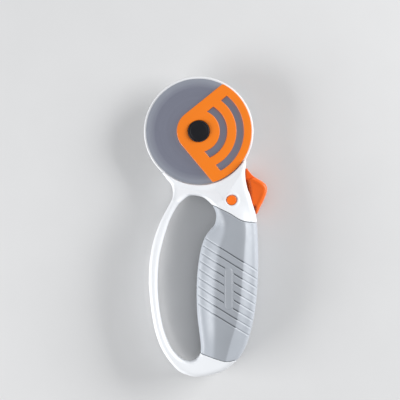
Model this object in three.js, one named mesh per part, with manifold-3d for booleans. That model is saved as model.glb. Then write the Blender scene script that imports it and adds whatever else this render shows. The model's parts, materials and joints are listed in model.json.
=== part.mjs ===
// A rotary fabric cutter with a closed loop handle: a 65 mm wheel blade on a bolted pivot, a blade guard that
// slides back when the thumb trigger is squeezed, and a cross-bolt button that locks the guard shut or open.
// Units are millimetres. The cutter lies on its back: +Z points out of its front face, +Y along the tool from
// the grip to the blade, +X to the trigger side. The origin is on the blade axis at the flat back of the nut.
import * as THREE from "three";
import { mergeVertices } from "three/addons/utils/BufferGeometryUtils.js";
import { ParametricGeometry } from "three/addons/geometries/ParametricGeometry.js";
import Module from "manifold-3d";

const wasm = await Module();
wasm.setup();

// ---------------------------------------------------------------- driving dimensions

const BLADE_RADIUS = 32.5;
const GUARD_RADIUS = 33.9;
const COVER_RADIUS = 32.7;
const GAP = 0.3; // between parts that stay together
const SLIDE_GAP = 0.4; // around parts that move

// Heights along Z, from the back of the nut to the front.
const Z = {
  bodyBack: 3,
  nutSeat: 5.6,
  triggerLow: 5.6,
  triggerWeb: 9.9,
  armFront: 10.2,
  guardLow: 10.5,
  guardHigh: 11.9,
  hubTop: 12.1,
  bladeLow: 12.3,
  bladeHigh: 12.6,
  coverLow: 12.9,
  coverHigh: 15.3,
  padLow: 4.6,
  padHigh: 13.8,
  boltTop: 16.3,
  bodyFront: 18.6,
  gripFront: 24,
};
const BELOW = -10; // heights well below and well above the whole cutter, for cuts right through it
const ABOVE = 40;
const PARTING = 12.1; // the plane where the two body shells meet
const PARTING_GAP = 0.15; // of each shell from that plane
const AXIS = new THREE.Vector2(0, 0); // the blade's

// The guard retracts from the blade's cutting edge towards the lock button.
const BUTTON = new THREE.Vector2(20.2, -42.6);
const GUARD_WAY = BUTTON.clone().normalize();
const GUARD_STROKE = 4.5;

const HUB_RADIUS = 5.5; // the boss on the back shell that carries the guard and the blade
const KEY = { radius: 4, flat: 3, gap: 0.25 }; // the bolt's shank, round with two flats
const NUT = { radius: 8.8, edge: 0.7, high: 4.4, thread: 3, recess: 9.4 }; // thumb nut and its recess

// The trigger turns about a pin low in the neck, and its arm draws the guard's tail back.
const TRIGGER_PIVOT = new THREE.Vector2(30, -48.5);
const TRIGGER_ARM = 11.5;
const TRIGGER_TURN = 2 * Math.asin(GUARD_STROKE / 2 / TRIGGER_ARM);
const ARM_MIDDLE = Math.atan2(-GUARD_WAY.x, GUARD_WAY.y); // square to the guard's way, pointing to the loop
const ARM_REST = ARM_MIDDLE - TRIGGER_TURN / 2 + (ARM_MIDDLE < 0 ? 2 * Math.PI : 0);
const LINK_PIN = TRIGGER_PIVOT.clone().add(polar(TRIGGER_ARM, ARM_REST));
const PIVOT_RADIUS = 1.5;
const [PIN_BOTTOM, PIN_TOP] = [Z.bodyBack + 1.3, 15.3]; // of the pivot pin, which ends inside both shells
const LINK_RADIUS = 1.25;
const [LINK_BOTTOM, LINK_TOP] = [Z.triggerLow + 0.2, Z.guardHigh + 0.6];
const PIN_GAP = 0.2; // round a pin in its hole
const COIL = { radius: 2.7, wire: 0.4, low: 10.6, high: 13.2, turns: 3.5, legs: [6.5, 1.8] };

// The lock button's stem has two grooves, and a spring wire across its hole drops into one or the other.
const STEM = { radius: 1.8, groove: 1.35, collar: 2.5, low: 3.9, collarLow: 12.3, collarHigh: 14.6 };
const BUTTON_HEAD = { radius: 3, edge: 0.4, top: 19.5 };
const BUTTON_HOLE = 3.2;
const BUTTON_TRAVEL = 2.2;
const WIRE = { radius: 0.35, z: 7.5, length: 8.4 };
const WIRE_X = BUTTON.x - STEM.groove - WIRE.radius - 0.2;
const WIRE_ENDS = [-1, 1].map((side) => new THREE.Vector2(WIRE_X, BUTTON.y + (side * WIRE.length) / 2));

const SCREWS = [
  new THREE.Vector2(-12.2, -39.4),
  new THREE.Vector2(9.3, -40.6),
  new THREE.Vector2(29.6, -59.5),
  new THREE.Vector2(17.5, -80),
  new THREE.Vector2(16.5, -118),
  new THREE.Vector2(5, -145.2),
];
const SCREW = { headRadius: 2.5, headHeight: 1.5, shankRadius: 1.25, bossRadius: 3.9, low: 4.6, high: 14.9 };

// The body is low beside the blade, and rises to its full height away from the blade and along a ramp.
const BRIDGE = { radius: 36.5, height: 14.8, slope: 0.42 };
const RAMP = { foot: new THREE.Vector2(10.5, -34), way: new THREE.Vector2(0.85, -0.53) };

// ---------------------------------------------------------------- materials

const finish = (color, roughness, metalness) =>
  new THREE.MeshStandardMaterial({ color, roughness, metalness });
const WHITE_PLASTIC = finish(0xf1f3f5, 0.35, 0);
const GREY_RUBBER = finish(0xb4b9c0, 0.7, 0);
const ORANGE_PLASTIC = finish(0xfa7d1a, 0.4, 0);
const RED_ORANGE_PLASTIC = finish(0xfa6423, 0.4, 0);
const BLACK_PLASTIC = finish(0x17171c, 0.5, 0);
const BLADE_STEEL = finish(0x8b8e9c, 0.35, 1);
const PLATED_STEEL = finish(0xb9bcc2, 0.35, 1);

// ---------------------------------------------------------------- helpers

function polar(radius, angle) {
  return new THREE.Vector2(radius * Math.cos(angle), radius * Math.sin(angle));
}

const { degToRad: rad, radToDeg, lerp, clamp } = THREE.MathUtils;

// A closed geometry as a manifold-3d solid, facing out, with collapsed triangles dropped.
function solid(geometry) {
  const loose = geometry.index ? geometry.toNonIndexed() : geometry.clone();
  loose.deleteAttribute("normal");
  loose.deleteAttribute("uv");
  const merged = mergeVertices(loose, 1e-4);
  const corners = merged.index.array;
  const triangles = [];
  for (let i = 0; i < corners.length; i += 3) {
    const [a, b, c] = [corners[i], corners[i + 1], corners[i + 2]];
    if (a !== b && b !== c && c !== a) triangles.push(a, b, c);
  }
  const vertProperties = merged.attributes.position.array;
  const build = (triVerts) => new wasm.Manifold(new wasm.Mesh({ numProp: 3, vertProperties, triVerts }));
  const made = build(new Uint32Array(triangles));
  return made.volume() < 0 ? build(new Uint32Array(triangles.reverse())) : made;
}

// A plane shape as a plate between two heights, with an optional chamfer or rounding at both faces.
function plate(shape, low, high, edge = 0, segments = 6, edgeSteps = 1) {
  const geometry = new THREE.ExtrudeGeometry(shape, {
    depth: high - low - 2 * edge,
    curveSegments: segments,
    bevelEnabled: edge > 0,
    bevelSize: edge,
    bevelThickness: edge,
    bevelOffset: -edge,
    bevelSegments: edgeSteps,
  });
  return solid(geometry.translate(0, 0, low + edge));
}

// A plane shape as a straight plate, wider than the shape by grow all round.
function wider(shape, grow, low, high, segments = 2) {
  const geometry = new THREE.ExtrudeGeometry(shape, {
    depth: high - low,
    curveSegments: segments,
    bevelSize: 0,
    bevelThickness: 0,
    bevelOffset: grow,
    bevelSegments: 0,
  });
  return solid(geometry.translate(0, 0, low));
}

function disc(centre, radius, low, high, segments = 32) {
  const geometry = new THREE.CylinderGeometry(radius, radius, high - low, segments).rotateX(Math.PI / 2);
  return solid(geometry.translate(centre.x, centre.y, (low + high) / 2));
}

// A solid of revolution about the Z axis through centre, from [radius, z] pairs.
function turned(centre, profile, segments = 32) {
  const points = profile.map(([radius, z]) => new THREE.Vector2(radius, z));
  const geometry = new THREE.LatheGeometry(points, segments).rotateX(Math.PI / 2);
  return solid(geometry.translate(centre.x, centre.y, 0));
}

function polygon(points) {
  return new THREE.Shape(points.map((p) => (p.isVector2 ? p : new THREE.Vector2(...p))));
}

// A rectangle with round ends, from a to b.
function capsule(a, b, radius) {
  const along = Math.atan2(b.y - a.y, b.x - a.x);
  const shape = new THREE.Shape();
  shape.absarc(a.x, a.y, radius, along + Math.PI / 2, along + 1.5 * Math.PI, false);
  shape.absarc(b.x, b.y, radius, along - Math.PI / 2, along + Math.PI / 2, false);
  return shape;
}

const vectors = (points) => points.map(([x, y]) => new THREE.Vector2(x, y));
const joined = (...solids) => solids.reduce((all, one) => all.add(one));
const without = (from, ...tools) => from.subtract(joined(...tools));
const through = (centre, radius, segments) => disc(centre, radius, BELOW, ABOVE, segments);

// Everything between two heights, as wide as the cutter and more.
function slab(low, high) {
  return plate(polygon([[-60, -170], [60, -170], [60, 60], [-60, 60]]), low, high);
}

// The bolt's keyed shank, or with a gap the hole for it.
function keyed(gap, low, high) {
  const [side, flat] = [KEY.radius + gap, KEY.flat + gap];
  const between = plate(polygon([[-side, -flat], [side, -flat], [side, flat], [-side, flat]]), low, high);
  return disc(AXIS, side, low, high, 48).intersect(between);
}

// A smooth height or width read off a few stations along Y, in falling order of Y.
function along(stations) {
  const places = stations.map(([y]) => -y);
  const values = stations.map(([, value]) => value);
  const curve = new THREE.CubicInterpolant(places, values, 1);
  return (y) => curve.evaluate(-y)[0];
}

// A solid turned about an upright line through pivot.
function turnedAbout(made, pivot, angle) {
  return made.translate([-pivot.x, -pivot.y, 0]).rotate([0, 0, radToDeg(angle)])
    .translate([pivot.x, pivot.y, 0]);
}

const cutter = new THREE.Group();

function add(name, made, material) {
  const { vertProperties, triVerts } = made.getMesh();
  const geometry = new THREE.BufferGeometry();
  geometry.setAttribute("position", new THREE.BufferAttribute(vertProperties, 3));
  geometry.setIndex(new THREE.BufferAttribute(triVerts, 1));
  geometry.computeVertexNormals();
  const mesh = new THREE.Mesh(geometry, material);
  mesh.name = name;
  cutter.add(mesh);
}

// ---------------------------------------------------------------- the body's outline and its grip

const HORN_LEFT = rad(229); // where the body's collar runs out along the guard, on either side
const HORN_RIGHT = rad(-33);
const COLLAR_RADIUS = 33.3;

const RIGHT_SIDE = [
  [29.0, -21.8], [28.6, -25.2], [29, -30.7], [30.3, -36.3], [32.4, -43.7], [34.6, -51.1], [35.6, -58.5],
  [36.1, -69.6], [36.3, -80], [36, -91.9], [35.2, -103], [33.7, -114.1], [31.1, -125.3], [28.6, -132.7],
  [24.6, -139.5], [19.3, -144.4], [13.2, -148.1], [4.5, -150.7],
];
const LEFT_SIDE = [
  [-3.5, -151.2], [-10.3, -148.6], [-15.3, -144.9], [-19.9, -139.2], [-23.6, -132.7], [-26.3, -125.3],
  [-28.2, -117], [-29.7, -106.7], [-30.7, -95], [-30.6, -84.5], [-29.8, -77.1], [-28.4, -69.6],
  [-26.2, -62.2], [-23.2, -54.8], [-19.3, -47.4], [-16.6, -42.2], [-15.8, -37.4], [-17, -33],
  [-19.8, -29.6],
];
const OPENING = [
  [-1.7, -39.4], [-6.5, -40.2], [-11.1, -43.7], [-14.2, -47.6], [-17.9, -54.8], [-20.5, -62.2],
  [-22.6, -69.6], [-24.3, -77.1], [-25.2, -85.7], [-25.4, -95.6], [-24.7, -106.7], [-22.9, -117.9],
  [-20.6, -126], [-17.2, -133.5], [-12.7, -139], [-7.6, -142], [-2.4, -141.6], [1, -138.3], [1.9, -132.8],
  [0.8, -122.8], [-0.1, -115.4], [-0.6, -106.7], [-0.7, -98.1], [-0.3, -88.2], [0.9, -78.3], [2.3, -71.5],
  [4.4, -65.6], [7.4, -61.4], [10.3, -57.6], [11.2, -52.3], [9.9, -47.4], [7, -43.5], [3.1, -40.4],
];

function bodyOutline() {
  const hornEnd = polar(COLLAR_RADIUS + 1.3, HORN_LEFT);
  const shape = new THREE.Shape();
  shape.moveTo(...polar(COLLAR_RADIUS + 1.5, HORN_RIGHT));
  shape.splineThru([...vectors(RIGHT_SIDE), ...vectors(LEFT_SIDE), hornEnd]);
  shape.lineTo(polar(COLLAR_RADIUS, HORN_LEFT).x, 0);
  shape.lineTo(polar(COLLAR_RADIUS, HORN_RIGHT).x + 1, 0);
  const ring = OPENING.map(([x, y]) => new THREE.Vector3(x, y, 0));
  const hole = new THREE.CatmullRomCurve3(ring, true).getPoints(2 * ring.length);
  shape.holes.push(new THREE.Path(hole.slice(0, -1).map((p) => new THREE.Vector2(p.x, p.y))));
  return shape;
}

const gripLeft = along([
  [-40, 3.1], [-43.5, 7], [-47.4, 9.9], [-52.3, 11.2], [-57.6, 10.3], [-61.4, 7.4], [-65.6, 4.4],
  [-71.5, 2.3], [-78.3, 0.9], [-88.2, -0.3], [-98.1, -0.7], [-106.7, -0.6], [-115.4, -0.1],
  [-122.8, 0.8], [-132.8, 1.9], [-138.3, 1], [-142, -2],
]);
const gripRight = along([
  [-40, 31.3], [-43.7, 32.4], [-51.1, 34.6], [-58.5, 35.6], [-69.6, 36.1], [-80, 36.3], [-91.9, 36],
  [-103, 35.2], [-114.1, 33.7], [-125.3, 31.1], [-132.7, 28.6], [-139.5, 24.6], [-142, 22],
]);
// The grip's front and back each have a flat between two slanted sides.
const flatLeft = along([
  [-40, 10], [-58.5, 16.3], [-73, 12.9], [-88, 11], [-103, 10.4], [-132, 10], [-142, 8],
]);
const flatRight = along([
  [-40, 25], [-58.5, 28.6], [-73, 28], [-88, 26.8], [-103, 25.5], [-118, 23], [-132, 19], [-142, 14],
]);
const gripHigh = along([
  [-40, 17], [-46, 19.6], [-56, 22.5], [-70, 23.8], [-82, Z.gripFront], [-105, Z.gripFront], [-120, 23.2],
  [-132, 21], [-142, 18.4],
]);
const gripLow = along([
  [-40, 3.2], [-48, 2.4], [-58, 1], [-70, 0.1], [-82, 0], [-105, 0], [-120, 0.6], [-132, 1.8], [-142, 3.2],
]);
const LEAST_SLANT = 2; // across each slanted side
const SIDE_HALF_HEIGHT = 4; // of the upright sides, above and below the parting plane
const SHOULDER = { across: 0.3, up: 0.42 }; // where a slanted side bends, as shares of its width and height

// The grip as a loft of twelve-sided sections along Y, drawn in from its surface by inset.
function gripLoft(inset, from = -40, to = -142, stations = 30) {
  const section = (y) => {
    const [left, right] = [gripLeft(y) + inset, gripRight(y) - inset];
    const flatA = Math.max(flatLeft(y), left + LEAST_SLANT);
    const flatB = Math.min(flatRight(y), right - LEAST_SLANT);
    const side = SIDE_HALF_HEIGHT - inset / 3;
    const half = (upright, level) => {
      const shoulder = lerp(upright, level, SHOULDER.up);
      return [
        [left, upright],
        [lerp(left, flatA, SHOULDER.across), shoulder],
        [flatA, level],
        [flatB, level],
        [lerp(right, flatB, SHOULDER.across), shoulder],
        [right, upright],
      ];
    };
    const front = half(PARTING + side, Math.min(gripHigh(y), Z.gripFront) - inset);
    const back = half(PARTING - side, Math.max(gripLow(y), 0) + inset);
    return [...front, ...back.reverse()];
  };
  const CORNERS = 12;
  const ROWS = stations + 2; // the first and last rows close the ends
  const surface = (u, v, target) => {
    const row = Math.round(v * ROWS);
    const y = lerp(from, to, clamp(row - 1, 0, stations) / stations);
    const ring = section(y);
    const [x, z] = ring[Math.round(u * CORNERS) % CORNERS];
    const closing = row === 0 || row === ROWS;
    target.set(closing ? (ring[2][0] + ring[3][0]) / 2 : x, y, closing ? PARTING : z);
  };
  return solid(new ParametricGeometry(surface, CORNERS, ROWS));
}

// The region that the soft grip covers, drawn in by inset at its upper and lower borders.
function gripZone(inset) {
  const upper = [
    [-2, -44], [8.5, -45.6], [13.2, -47.6], [20.1, -51.2], [24.8, -54.2], [30.3, -55.9], [45, -56.6],
  ];
  const lower = [[45, -138.5], [23.1, -141.3], [17.5, -142], [12.5, -141], [2.7, -137.4], [-3, -134.5]];
  const shape = polygon([
    ...upper.map(([x, y]) => [x, y - inset]),
    ...lower.map(([x, y]) => [x, y + inset]),
    [-9, -125], [-9, -72],
  ]);
  return plate(shape, BELOW, ABOVE);
}

// What has to come off the front of a body of full height to leave the bridge and the ramp.
function neckRelief() {
  const { radius, height, slope } = BRIDGE;
  const reach = radius + (ABOVE - height) / slope;
  const cone = turned(AXIS, [[0, height], [radius, height], [reach, ABOVE], [0, ABOVE]], 72);
  const up = new THREE.Vector3(-slope * RAMP.way.x, -slope * RAMP.way.y, 1);
  const offset = (height - slope * RAMP.way.dot(RAMP.foot)) / up.length();
  return cone.trimByPlane(up.normalize().toArray(), offset);
}

const SOFT_THICKNESS = 2.2;
const WALL = 2;
const collar = disc(AXIS, COLLAR_RADIUS, BELOW, ABOVE, 96);
const frame = plate(bodyOutline(), Z.bodyBack, Z.bodyFront, 2.2, 3, 2).subtract(collar);
const wholeGrip = gripLoft(0);
const body = frame.add(wholeGrip).subtract(neckRelief());
const shellCore = gripLoft(SOFT_THICKNESS + GAP);
const hardBody = body.subtract(gripZone(0).subtract(shellCore));
const softSkin = body.intersect(gripZone(GAP)).subtract(gripLoft(SOFT_THICKNESS));
const frontHalf = slab(PARTING + PARTING_GAP, ABOVE);
const backHalf = slab(BELOW, PARTING - PARTING_GAP);

// ---------------------------------------------------------------- the trigger

const TRIGGER_OUTLINE = [
  [29.8, -22.9], [31.4, -25.2], [33.6, -27.7], [36.4, -29.4], [39.1, -31], [41.2, -32.9], [42.2, -35.2],
  [41.7, -38.6], [40, -42.8], [37.9, -47], [36.2, -50.6], [33.6, -52.4],
];
const TRIGGER_INSIDE = [[27.8, -50.4], [27.6, -46], [27.9, -40], [26.8, -34], [26.6, -28], [27.6, -23.6]];

function triggerShape() {
  const shape = new THREE.Shape();
  shape.moveTo(...TRIGGER_OUTLINE[0]);
  shape.splineThru(vectors(TRIGGER_OUTLINE.slice(1)));
  TRIGGER_INSIDE.forEach(([x, y]) => shape.lineTo(x, y));
  return shape;
}

const ARM_HALF_WIDTH = 2.6;

function buildTrigger() {
  const web = plate(triggerShape(), Z.triggerLow, Z.triggerWeb, 0, 2);
  const arm = plate(capsule(TRIGGER_PIVOT, LINK_PIN, ARM_HALF_WIDTH), Z.triggerLow, Z.triggerWeb, 0, 6);
  // The thumb pad is deeper than the web, and stops where the drawn-back guard passes over it.
  const pad = plate(triggerShape(), Z.padLow, Z.padHigh, 1, 2, 2);
  const padSpan = plate(polygon([[31.5, -20], [50, -20], [50, -46], [36.5, -46], [31.5, -37]]), BELOW, ABOVE);
  const drawnBack = GUARD_WAY.clone().multiplyScalar(GUARD_STROKE).sub(TRIGGER_PIVOT);
  const passing = drawnBack.rotateAround(AXIS, -TRIGGER_TURN).add(TRIGGER_PIVOT);
  const guardPath = disc(passing, GUARD_RADIUS + 2 * GAP, Z.triggerWeb, ABOVE, 96);
  return without(
    joined(web, arm, pad.intersect(padSpan).subtract(guardPath)),
    through(TRIGGER_PIVOT, PIVOT_RADIUS + PIN_GAP, 20),
    through(LINK_PIN, LINK_RADIUS + PIN_GAP, 16),
  );
}

// The room that the trigger takes between rest and fully squeezed.
function triggerRoom() {
  const [webLow, webHigh] = [Z.triggerLow - PIN_GAP, Z.triggerWeb + GAP];
  const web = wider(triggerShape(), SLIDE_GAP, webLow, webHigh);
  const padSpan = plate(polygon([[30.5, -20], [50, -18], [50, -47], [36, -47], [30.5, -38]]), BELOW, ABOVE);
  const pad = wider(triggerShape(), SLIDE_GAP, Z.padLow - GAP, Z.padHigh + SLIDE_GAP).intersect(padSpan);
  const arm = plate(capsule(TRIGGER_PIVOT, LINK_PIN, ARM_HALF_WIDTH + 2 * GAP), webLow, webHigh, 0, 6);
  const STEPS = 8;
  const poses = [];
  for (let i = 0; i <= STEPS; i += 1) {
    poses.push(turnedAbout(joined(web, arm, pad), TRIGGER_PIVOT, (TRIGGER_TURN * i) / STEPS));
  }
  return joined(...poses);
}

// ---------------------------------------------------------------- the guard

const TAIL = { start: 20, halfWidth: 4.2, endHalfWidth: 3 };

function guardShape(grow) {
  const [low, high] = [Z.guardLow - grow, Z.guardHigh + grow];
  const tailStart = GUARD_WAY.clone().multiplyScalar(TAIL.start);
  return joined(
    disc(AXIS, GUARD_RADIUS + grow, low, high, 96),
    plate(capsule(tailStart, BUTTON, TAIL.halfWidth + grow), low, high),
    plate(capsule(BUTTON, LINK_PIN, TAIL.endHalfWidth + grow), low, high),
  );
}

function buildGuard() {
  const back = GUARD_WAY.clone().multiplyScalar(-GUARD_STROKE);
  const slot = (from, to, radius) => plate(capsule(from, to, radius), BELOW, ABOVE, 0, 10);
  const lockPocket = STEM.collar + KEY.gap;
  const sideways = polar(GAP, ARM_MIDDLE); // the link pin swings a little across the guard's way
  return without(
    guardShape(0),
    slot(AXIS, back, HUB_RADIUS + KEY.gap),
    slot(BUTTON, BUTTON.clone().add(back), STEM.radius + GAP),
    through(BUTTON, lockPocket),
    through(BUTTON.clone().add(back), lockPocket),
    slot(LINK_PIN.clone().add(sideways), LINK_PIN.clone().sub(sideways), LINK_RADIUS + GAP + 0.05),
  );
}

// The room that the guard takes over its stroke.
function guardRoom() {
  const shift = GUARD_WAY.clone().multiplyScalar(GUARD_STROKE);
  const room = guardShape(GAP);
  return joined(...[0, 0.5, 1].map((share) => room.translate([shift.x * share, shift.y * share, 0])));
}

// ---------------------------------------------------------------- the body shells

function screwHoles(grow) {
  return joined(...SCREWS.map((at) => joined(
    disc(at, SCREW.shankRadius + grow, SCREW.low, SCREW.high + 0.5, 16),
    disc(at, SCREW.headRadius + grow, BELOW, SCREW.low + SCREW.headHeight + grow, 24),
  )));
}

const bosses = (low, high, inside) =>
  joined(...SCREWS.map((at) => disc(at, SCREW.bossRadius, low, high, 24))).intersect(inside);

// The largest body of a solid, without the slivers that crossing cuts leave.
function largest(made) {
  return made.decompose().reduce((best, one) => (one.volume() > best.volume() ? one : best));
}

const gripHollow = gripLoft(SOFT_THICKNESS + GAP + WALL, -58, -138, 20);
const triggerSweep = triggerRoom();
const guardSweep = guardRoom();
const coilRoom = disc(TRIGGER_PIVOT, COIL.radius + COIL.wire + 1.1, Z.triggerWeb, COIL.high + 0.8, 24);

function buildFrontShell() {
  const drawnPin = GUARD_WAY.clone().multiplyScalar(GUARD_STROKE).add(LINK_PIN);
  const tailRoom = plate(capsule(BUTTON, drawnPin, 5), PARTING, COIL.high + 1);
  return largest(without(
    joined(
      hardBody.intersect(frontHalf).subtract(gripHollow),
      bosses(PARTING + PARTING_GAP, Z.gripFront, hardBody),
    ),
    triggerSweep, coilRoom, tailRoom, guardSweep,
    through(BUTTON, BUTTON_HOLE),
    disc(TRIGGER_PIVOT, PIVOT_RADIUS + PIN_GAP, BELOW, PIN_TOP + GAP, 20),
    screwHoles(PIN_GAP),
  ));
}

function armOutline() {
  const ARM_RADIUS = 18.6;
  const arm = new THREE.Shape();
  arm.moveTo(-15.8, -37);
  arm.splineThru(vectors([[-16.6, -30], [-18, -20], [-18.4, -10]]));
  arm.absarc(0, 0, ARM_RADIUS, rad(200), rad(-20), true);
  arm.splineThru(vectors([[20, -12], [24.6, -18.4], [28.4, -22.6], [29, -30]]));
  arm.lineTo(20, -40);
  return arm;
}

function buildBackShell() {
  const head = plate(armOutline(), Z.bodyBack, Z.armFront, 0, 6);
  const hub = disc(AXIS, HUB_RADIUS, Z.armFront - 1, Z.hubTop, 48);
  const wireSeats = WIRE_ENDS.map((at) => disc(at, 1.1, Z.bodyBack + 1, WIRE.z + 1.2, 12));
  const shell = without(
    joined(
      hardBody.intersect(backHalf).subtract(gripHollow), head, ...wireSeats,
      bosses(Z.bodyBack, PARTING - PARTING_GAP, hardBody),
    ),
    guardSweep, triggerSweep, coilRoom,
  );
  return largest(without(
    joined(shell, hub),
    keyed(KEY.gap, BELOW, ABOVE),
    disc(AXIS, NUT.recess, BELOW, Z.nutSeat, 48),
    disc(TRIGGER_PIVOT, PIVOT_RADIUS + PIN_GAP, PIN_BOTTOM - GAP, ABOVE, 20),
    disc(BUTTON, BUTTON_HOLE, BELOW, Z.guardLow),
    wirePath(WIRE.radius + PIN_GAP, WIRE.length + 2 * GAP),
    screwHoles(PIN_GAP),
  ));
}

// ---------------------------------------------------------------- the lock button and its detent

function wirePath(radius, length) {
  const geometry = new THREE.CylinderGeometry(radius, radius, length, 10);
  return solid(geometry.translate(WIRE_X, BUTTON.y, WIRE.z));
}

function buildButton() {
  const groove = (z) => [
    [STEM.radius, z - 0.7], [STEM.groove, z - 0.3], [STEM.groove, z + 0.3], [STEM.radius, z + 0.7],
  ];
  const head = BUTTON_HEAD;
  return turned(BUTTON, [
    [0, STEM.low], [STEM.radius, STEM.low], ...groove(WIRE.z), ...groove(WIRE.z + BUTTON_TRAVEL),
    [STEM.radius, STEM.collarLow], [STEM.collar, STEM.collarLow], [STEM.collar, STEM.collarHigh],
    [head.radius, STEM.collarHigh], [head.radius, head.top - 0.6], [head.radius - head.edge, head.top - 0.2],
    [0, head.top],
  ]);
}

// A cup that is pressed onto the stem from the back.
function buildButtonCap() {
  const CAP = { radius: 2.9, edge: 0.3, low: 3.1, high: 6.4 };
  const inside = STEM.radius + PIN_GAP;
  return turned(BUTTON, [
    [0, CAP.low], [CAP.radius - CAP.edge, CAP.low], [CAP.radius, CAP.low + CAP.edge], [CAP.radius, CAP.high],
    [inside, CAP.high], [inside, STEM.low - GAP], [0, STEM.low - GAP],
  ]);
}

// ---------------------------------------------------------------- blade, cover, bolt and nut

function buildBlade() {
  const HOLE = 4.2;
  const EDGE = 1.2; // width of the ground edge
  const middle = (Z.bladeLow + Z.bladeHigh) / 2;
  return turned(AXIS, [
    [HOLE, Z.bladeLow], [BLADE_RADIUS - EDGE, Z.bladeLow], [BLADE_RADIUS, middle],
    [BLADE_RADIUS - EDGE, Z.bladeHigh], [HOLE, Z.bladeHigh], [HOLE, Z.bladeLow],
  ], 96);
}

// A quadrant whose two straight edges are tangent to a hub circle, pointing to the trigger side.
function quadrant(hubRadius, rimRadius) {
  const FACING = rad(-4);
  const swing = Math.acos(hubRadius / rimRadius);
  const shape = new THREE.Shape();
  shape.absarc(0, 0, hubRadius, FACING + rad(135), FACING + rad(225), false);
  shape.absarc(0, 0, rimRadius, FACING - rad(135) + swing, FACING + rad(135) - swing, false);
  return shape;
}

function buildCover() {
  const HUB = 13.4;
  const BOLT_RECESS = { radius: 6.7, depth: 1.4 };
  const SLOTS = { offset: 5.6, reach: 60 }; // the slots end on two lines that pass this far off the axis
  const between = plate(quadrant(SLOTS.offset, SLOTS.reach), BELOW, ABOVE, 0, 16);
  const ring = (inner, outer) => through(AXIS, outer, 72).subtract(through(AXIS, inner, 72));
  return without(
    plate(quadrant(HUB, COVER_RADIUS), Z.coverLow, Z.coverHigh, 0.4, 16),
    joined(ring(12.7, 17.6), ring(23.1, 27.9)).intersect(between),
    keyed(KEY.gap, BELOW, ABOVE),
    disc(AXIS, BOLT_RECESS.radius, Z.coverHigh - BOLT_RECESS.depth, ABOVE, 48),
  );
}

function buildBolt() {
  const HEAD = { radius: 6.4, edge: 0.5, low: Z.coverHigh - 1.2 };
  return joined(
    turned(AXIS, [
      [0, HEAD.low], [HEAD.radius, HEAD.low], [HEAD.radius, Z.boltTop - HEAD.edge],
      [HEAD.radius - HEAD.edge, Z.boltTop], [0, Z.boltTop],
    ], 48),
    keyed(0, 5.2, HEAD.low + PIN_GAP),
    disc(AXIS, NUT.thread - GAP, 1.8, 5.6),
  );
}

// A thumb nut with a flute between each two of its ribs.
function nutKnob() {
  const FLUTES = { count: 12, radius: 1.2, at: 9.4, high: 3.4 };
  const knob = turned(AXIS, [
    [0, 0], [NUT.radius - NUT.edge, 0], [NUT.radius, NUT.edge], [NUT.radius, NUT.high], [0, NUT.high],
  ], 48);
  const flutes = Array.from({ length: FLUTES.count }, (_, i) => {
    const at = polar(FLUTES.at, (i * 2 * Math.PI) / FLUTES.count);
    return disc(at, FLUTES.radius, BELOW, FLUTES.high, 12);
  });
  const insertSeat = disc(AXIS, 4.9, 1.2, ABOVE, 6);
  return without(knob, ...flutes, insertSeat, disc(AXIS, NUT.thread + PIN_GAP, 1, ABOVE, 24));
}

const nutInsert = disc(AXIS, 4.6, 1.5, NUT.high, 6).subtract(through(AXIS, NUT.thread, 24));

function washer(inner, outer, low, high) {
  return turned(AXIS, [[inner, low], [outer, low], [outer, high], [inner, high], [inner, low]], 40);
}

// ---------------------------------------------------------------- springs, pins and screws

// The trigger's return spring: a coil round the pivot pin with a straight leg at each end.
class TorsionSpring extends THREE.Curve {
  getPoint(t, target = new THREE.Vector3()) {
    const LEG = 0.16; // share of the wire's length in each straight leg
    const turn = (share) => rad(130) + share * COIL.turns * 2 * Math.PI;
    const share = clamp((t - LEG) / (1 - 2 * LEG), 0, 1);
    const angle = turn(share);
    const start = (Math.min(t - LEG, 0) / LEG) * COIL.legs[0];
    const end = (Math.max(t - 1 + LEG, 0) / LEG) * COIL.legs[1];
    const straight = start + end;
    return target.set(
      TRIGGER_PIVOT.x + COIL.radius * Math.cos(angle) - straight * Math.sin(angle),
      TRIGGER_PIVOT.y + COIL.radius * Math.sin(angle) + straight * Math.cos(angle),
      lerp(COIL.low, COIL.high, share),
    );
  }
}

function buildTriggerSpring() {
  const section = new THREE.Shape().absarc(0, 0, COIL.wire, 0, 2 * Math.PI);
  const geometry = new THREE.ExtrudeGeometry(section, {
    steps: 80, curveSegments: 3, extrudePath: new TorsionSpring(), bevelEnabled: false,
  });
  return solid(geometry);
}

function buildScrew(at) {
  const top = SCREW.low;
  const made = turned(at, [
    [0, top], [SCREW.headRadius - 0.4, top], [SCREW.headRadius, top + 0.4],
    [SCREW.headRadius, top + SCREW.headHeight], [SCREW.shankRadius, top + SCREW.headHeight],
    [SCREW.shankRadius, SCREW.high - 1], [0.4, SCREW.high], [0, SCREW.high],
  ], 16);
  const arm = (width, height) => solid(new THREE.BoxGeometry(width, height, 1.6).translate(at.x, at.y, top));
  return without(made, arm(2.6, 0.7), arm(0.7, 2.6));
}

// ---------------------------------------------------------------- assembly

add("front_shell", buildFrontShell(), WHITE_PLASTIC);
add("back_shell", buildBackShell(), WHITE_PLASTIC);

add("front_grip", softSkin.intersect(frontHalf).subtract(triggerSweep), GREY_RUBBER);
add("back_grip", without(softSkin.intersect(backHalf), triggerSweep, screwHoles(0.6)), GREY_RUBBER);

add("blade_guard", buildGuard(), WHITE_PLASTIC);
add("blade", buildBlade(), BLADE_STEEL);
add("blade_cover_plate", buildCover(), ORANGE_PLASTIC);
add("blade_bolt", buildBolt(), BLACK_PLASTIC);
add("spring_washer", washer(3, 5.6, 4.7, 5.1), PLATED_STEEL);
add("blade_nut_knob", nutKnob(), BLACK_PLASTIC);
add("blade_nut_insert", nutInsert, PLATED_STEEL);

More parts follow.
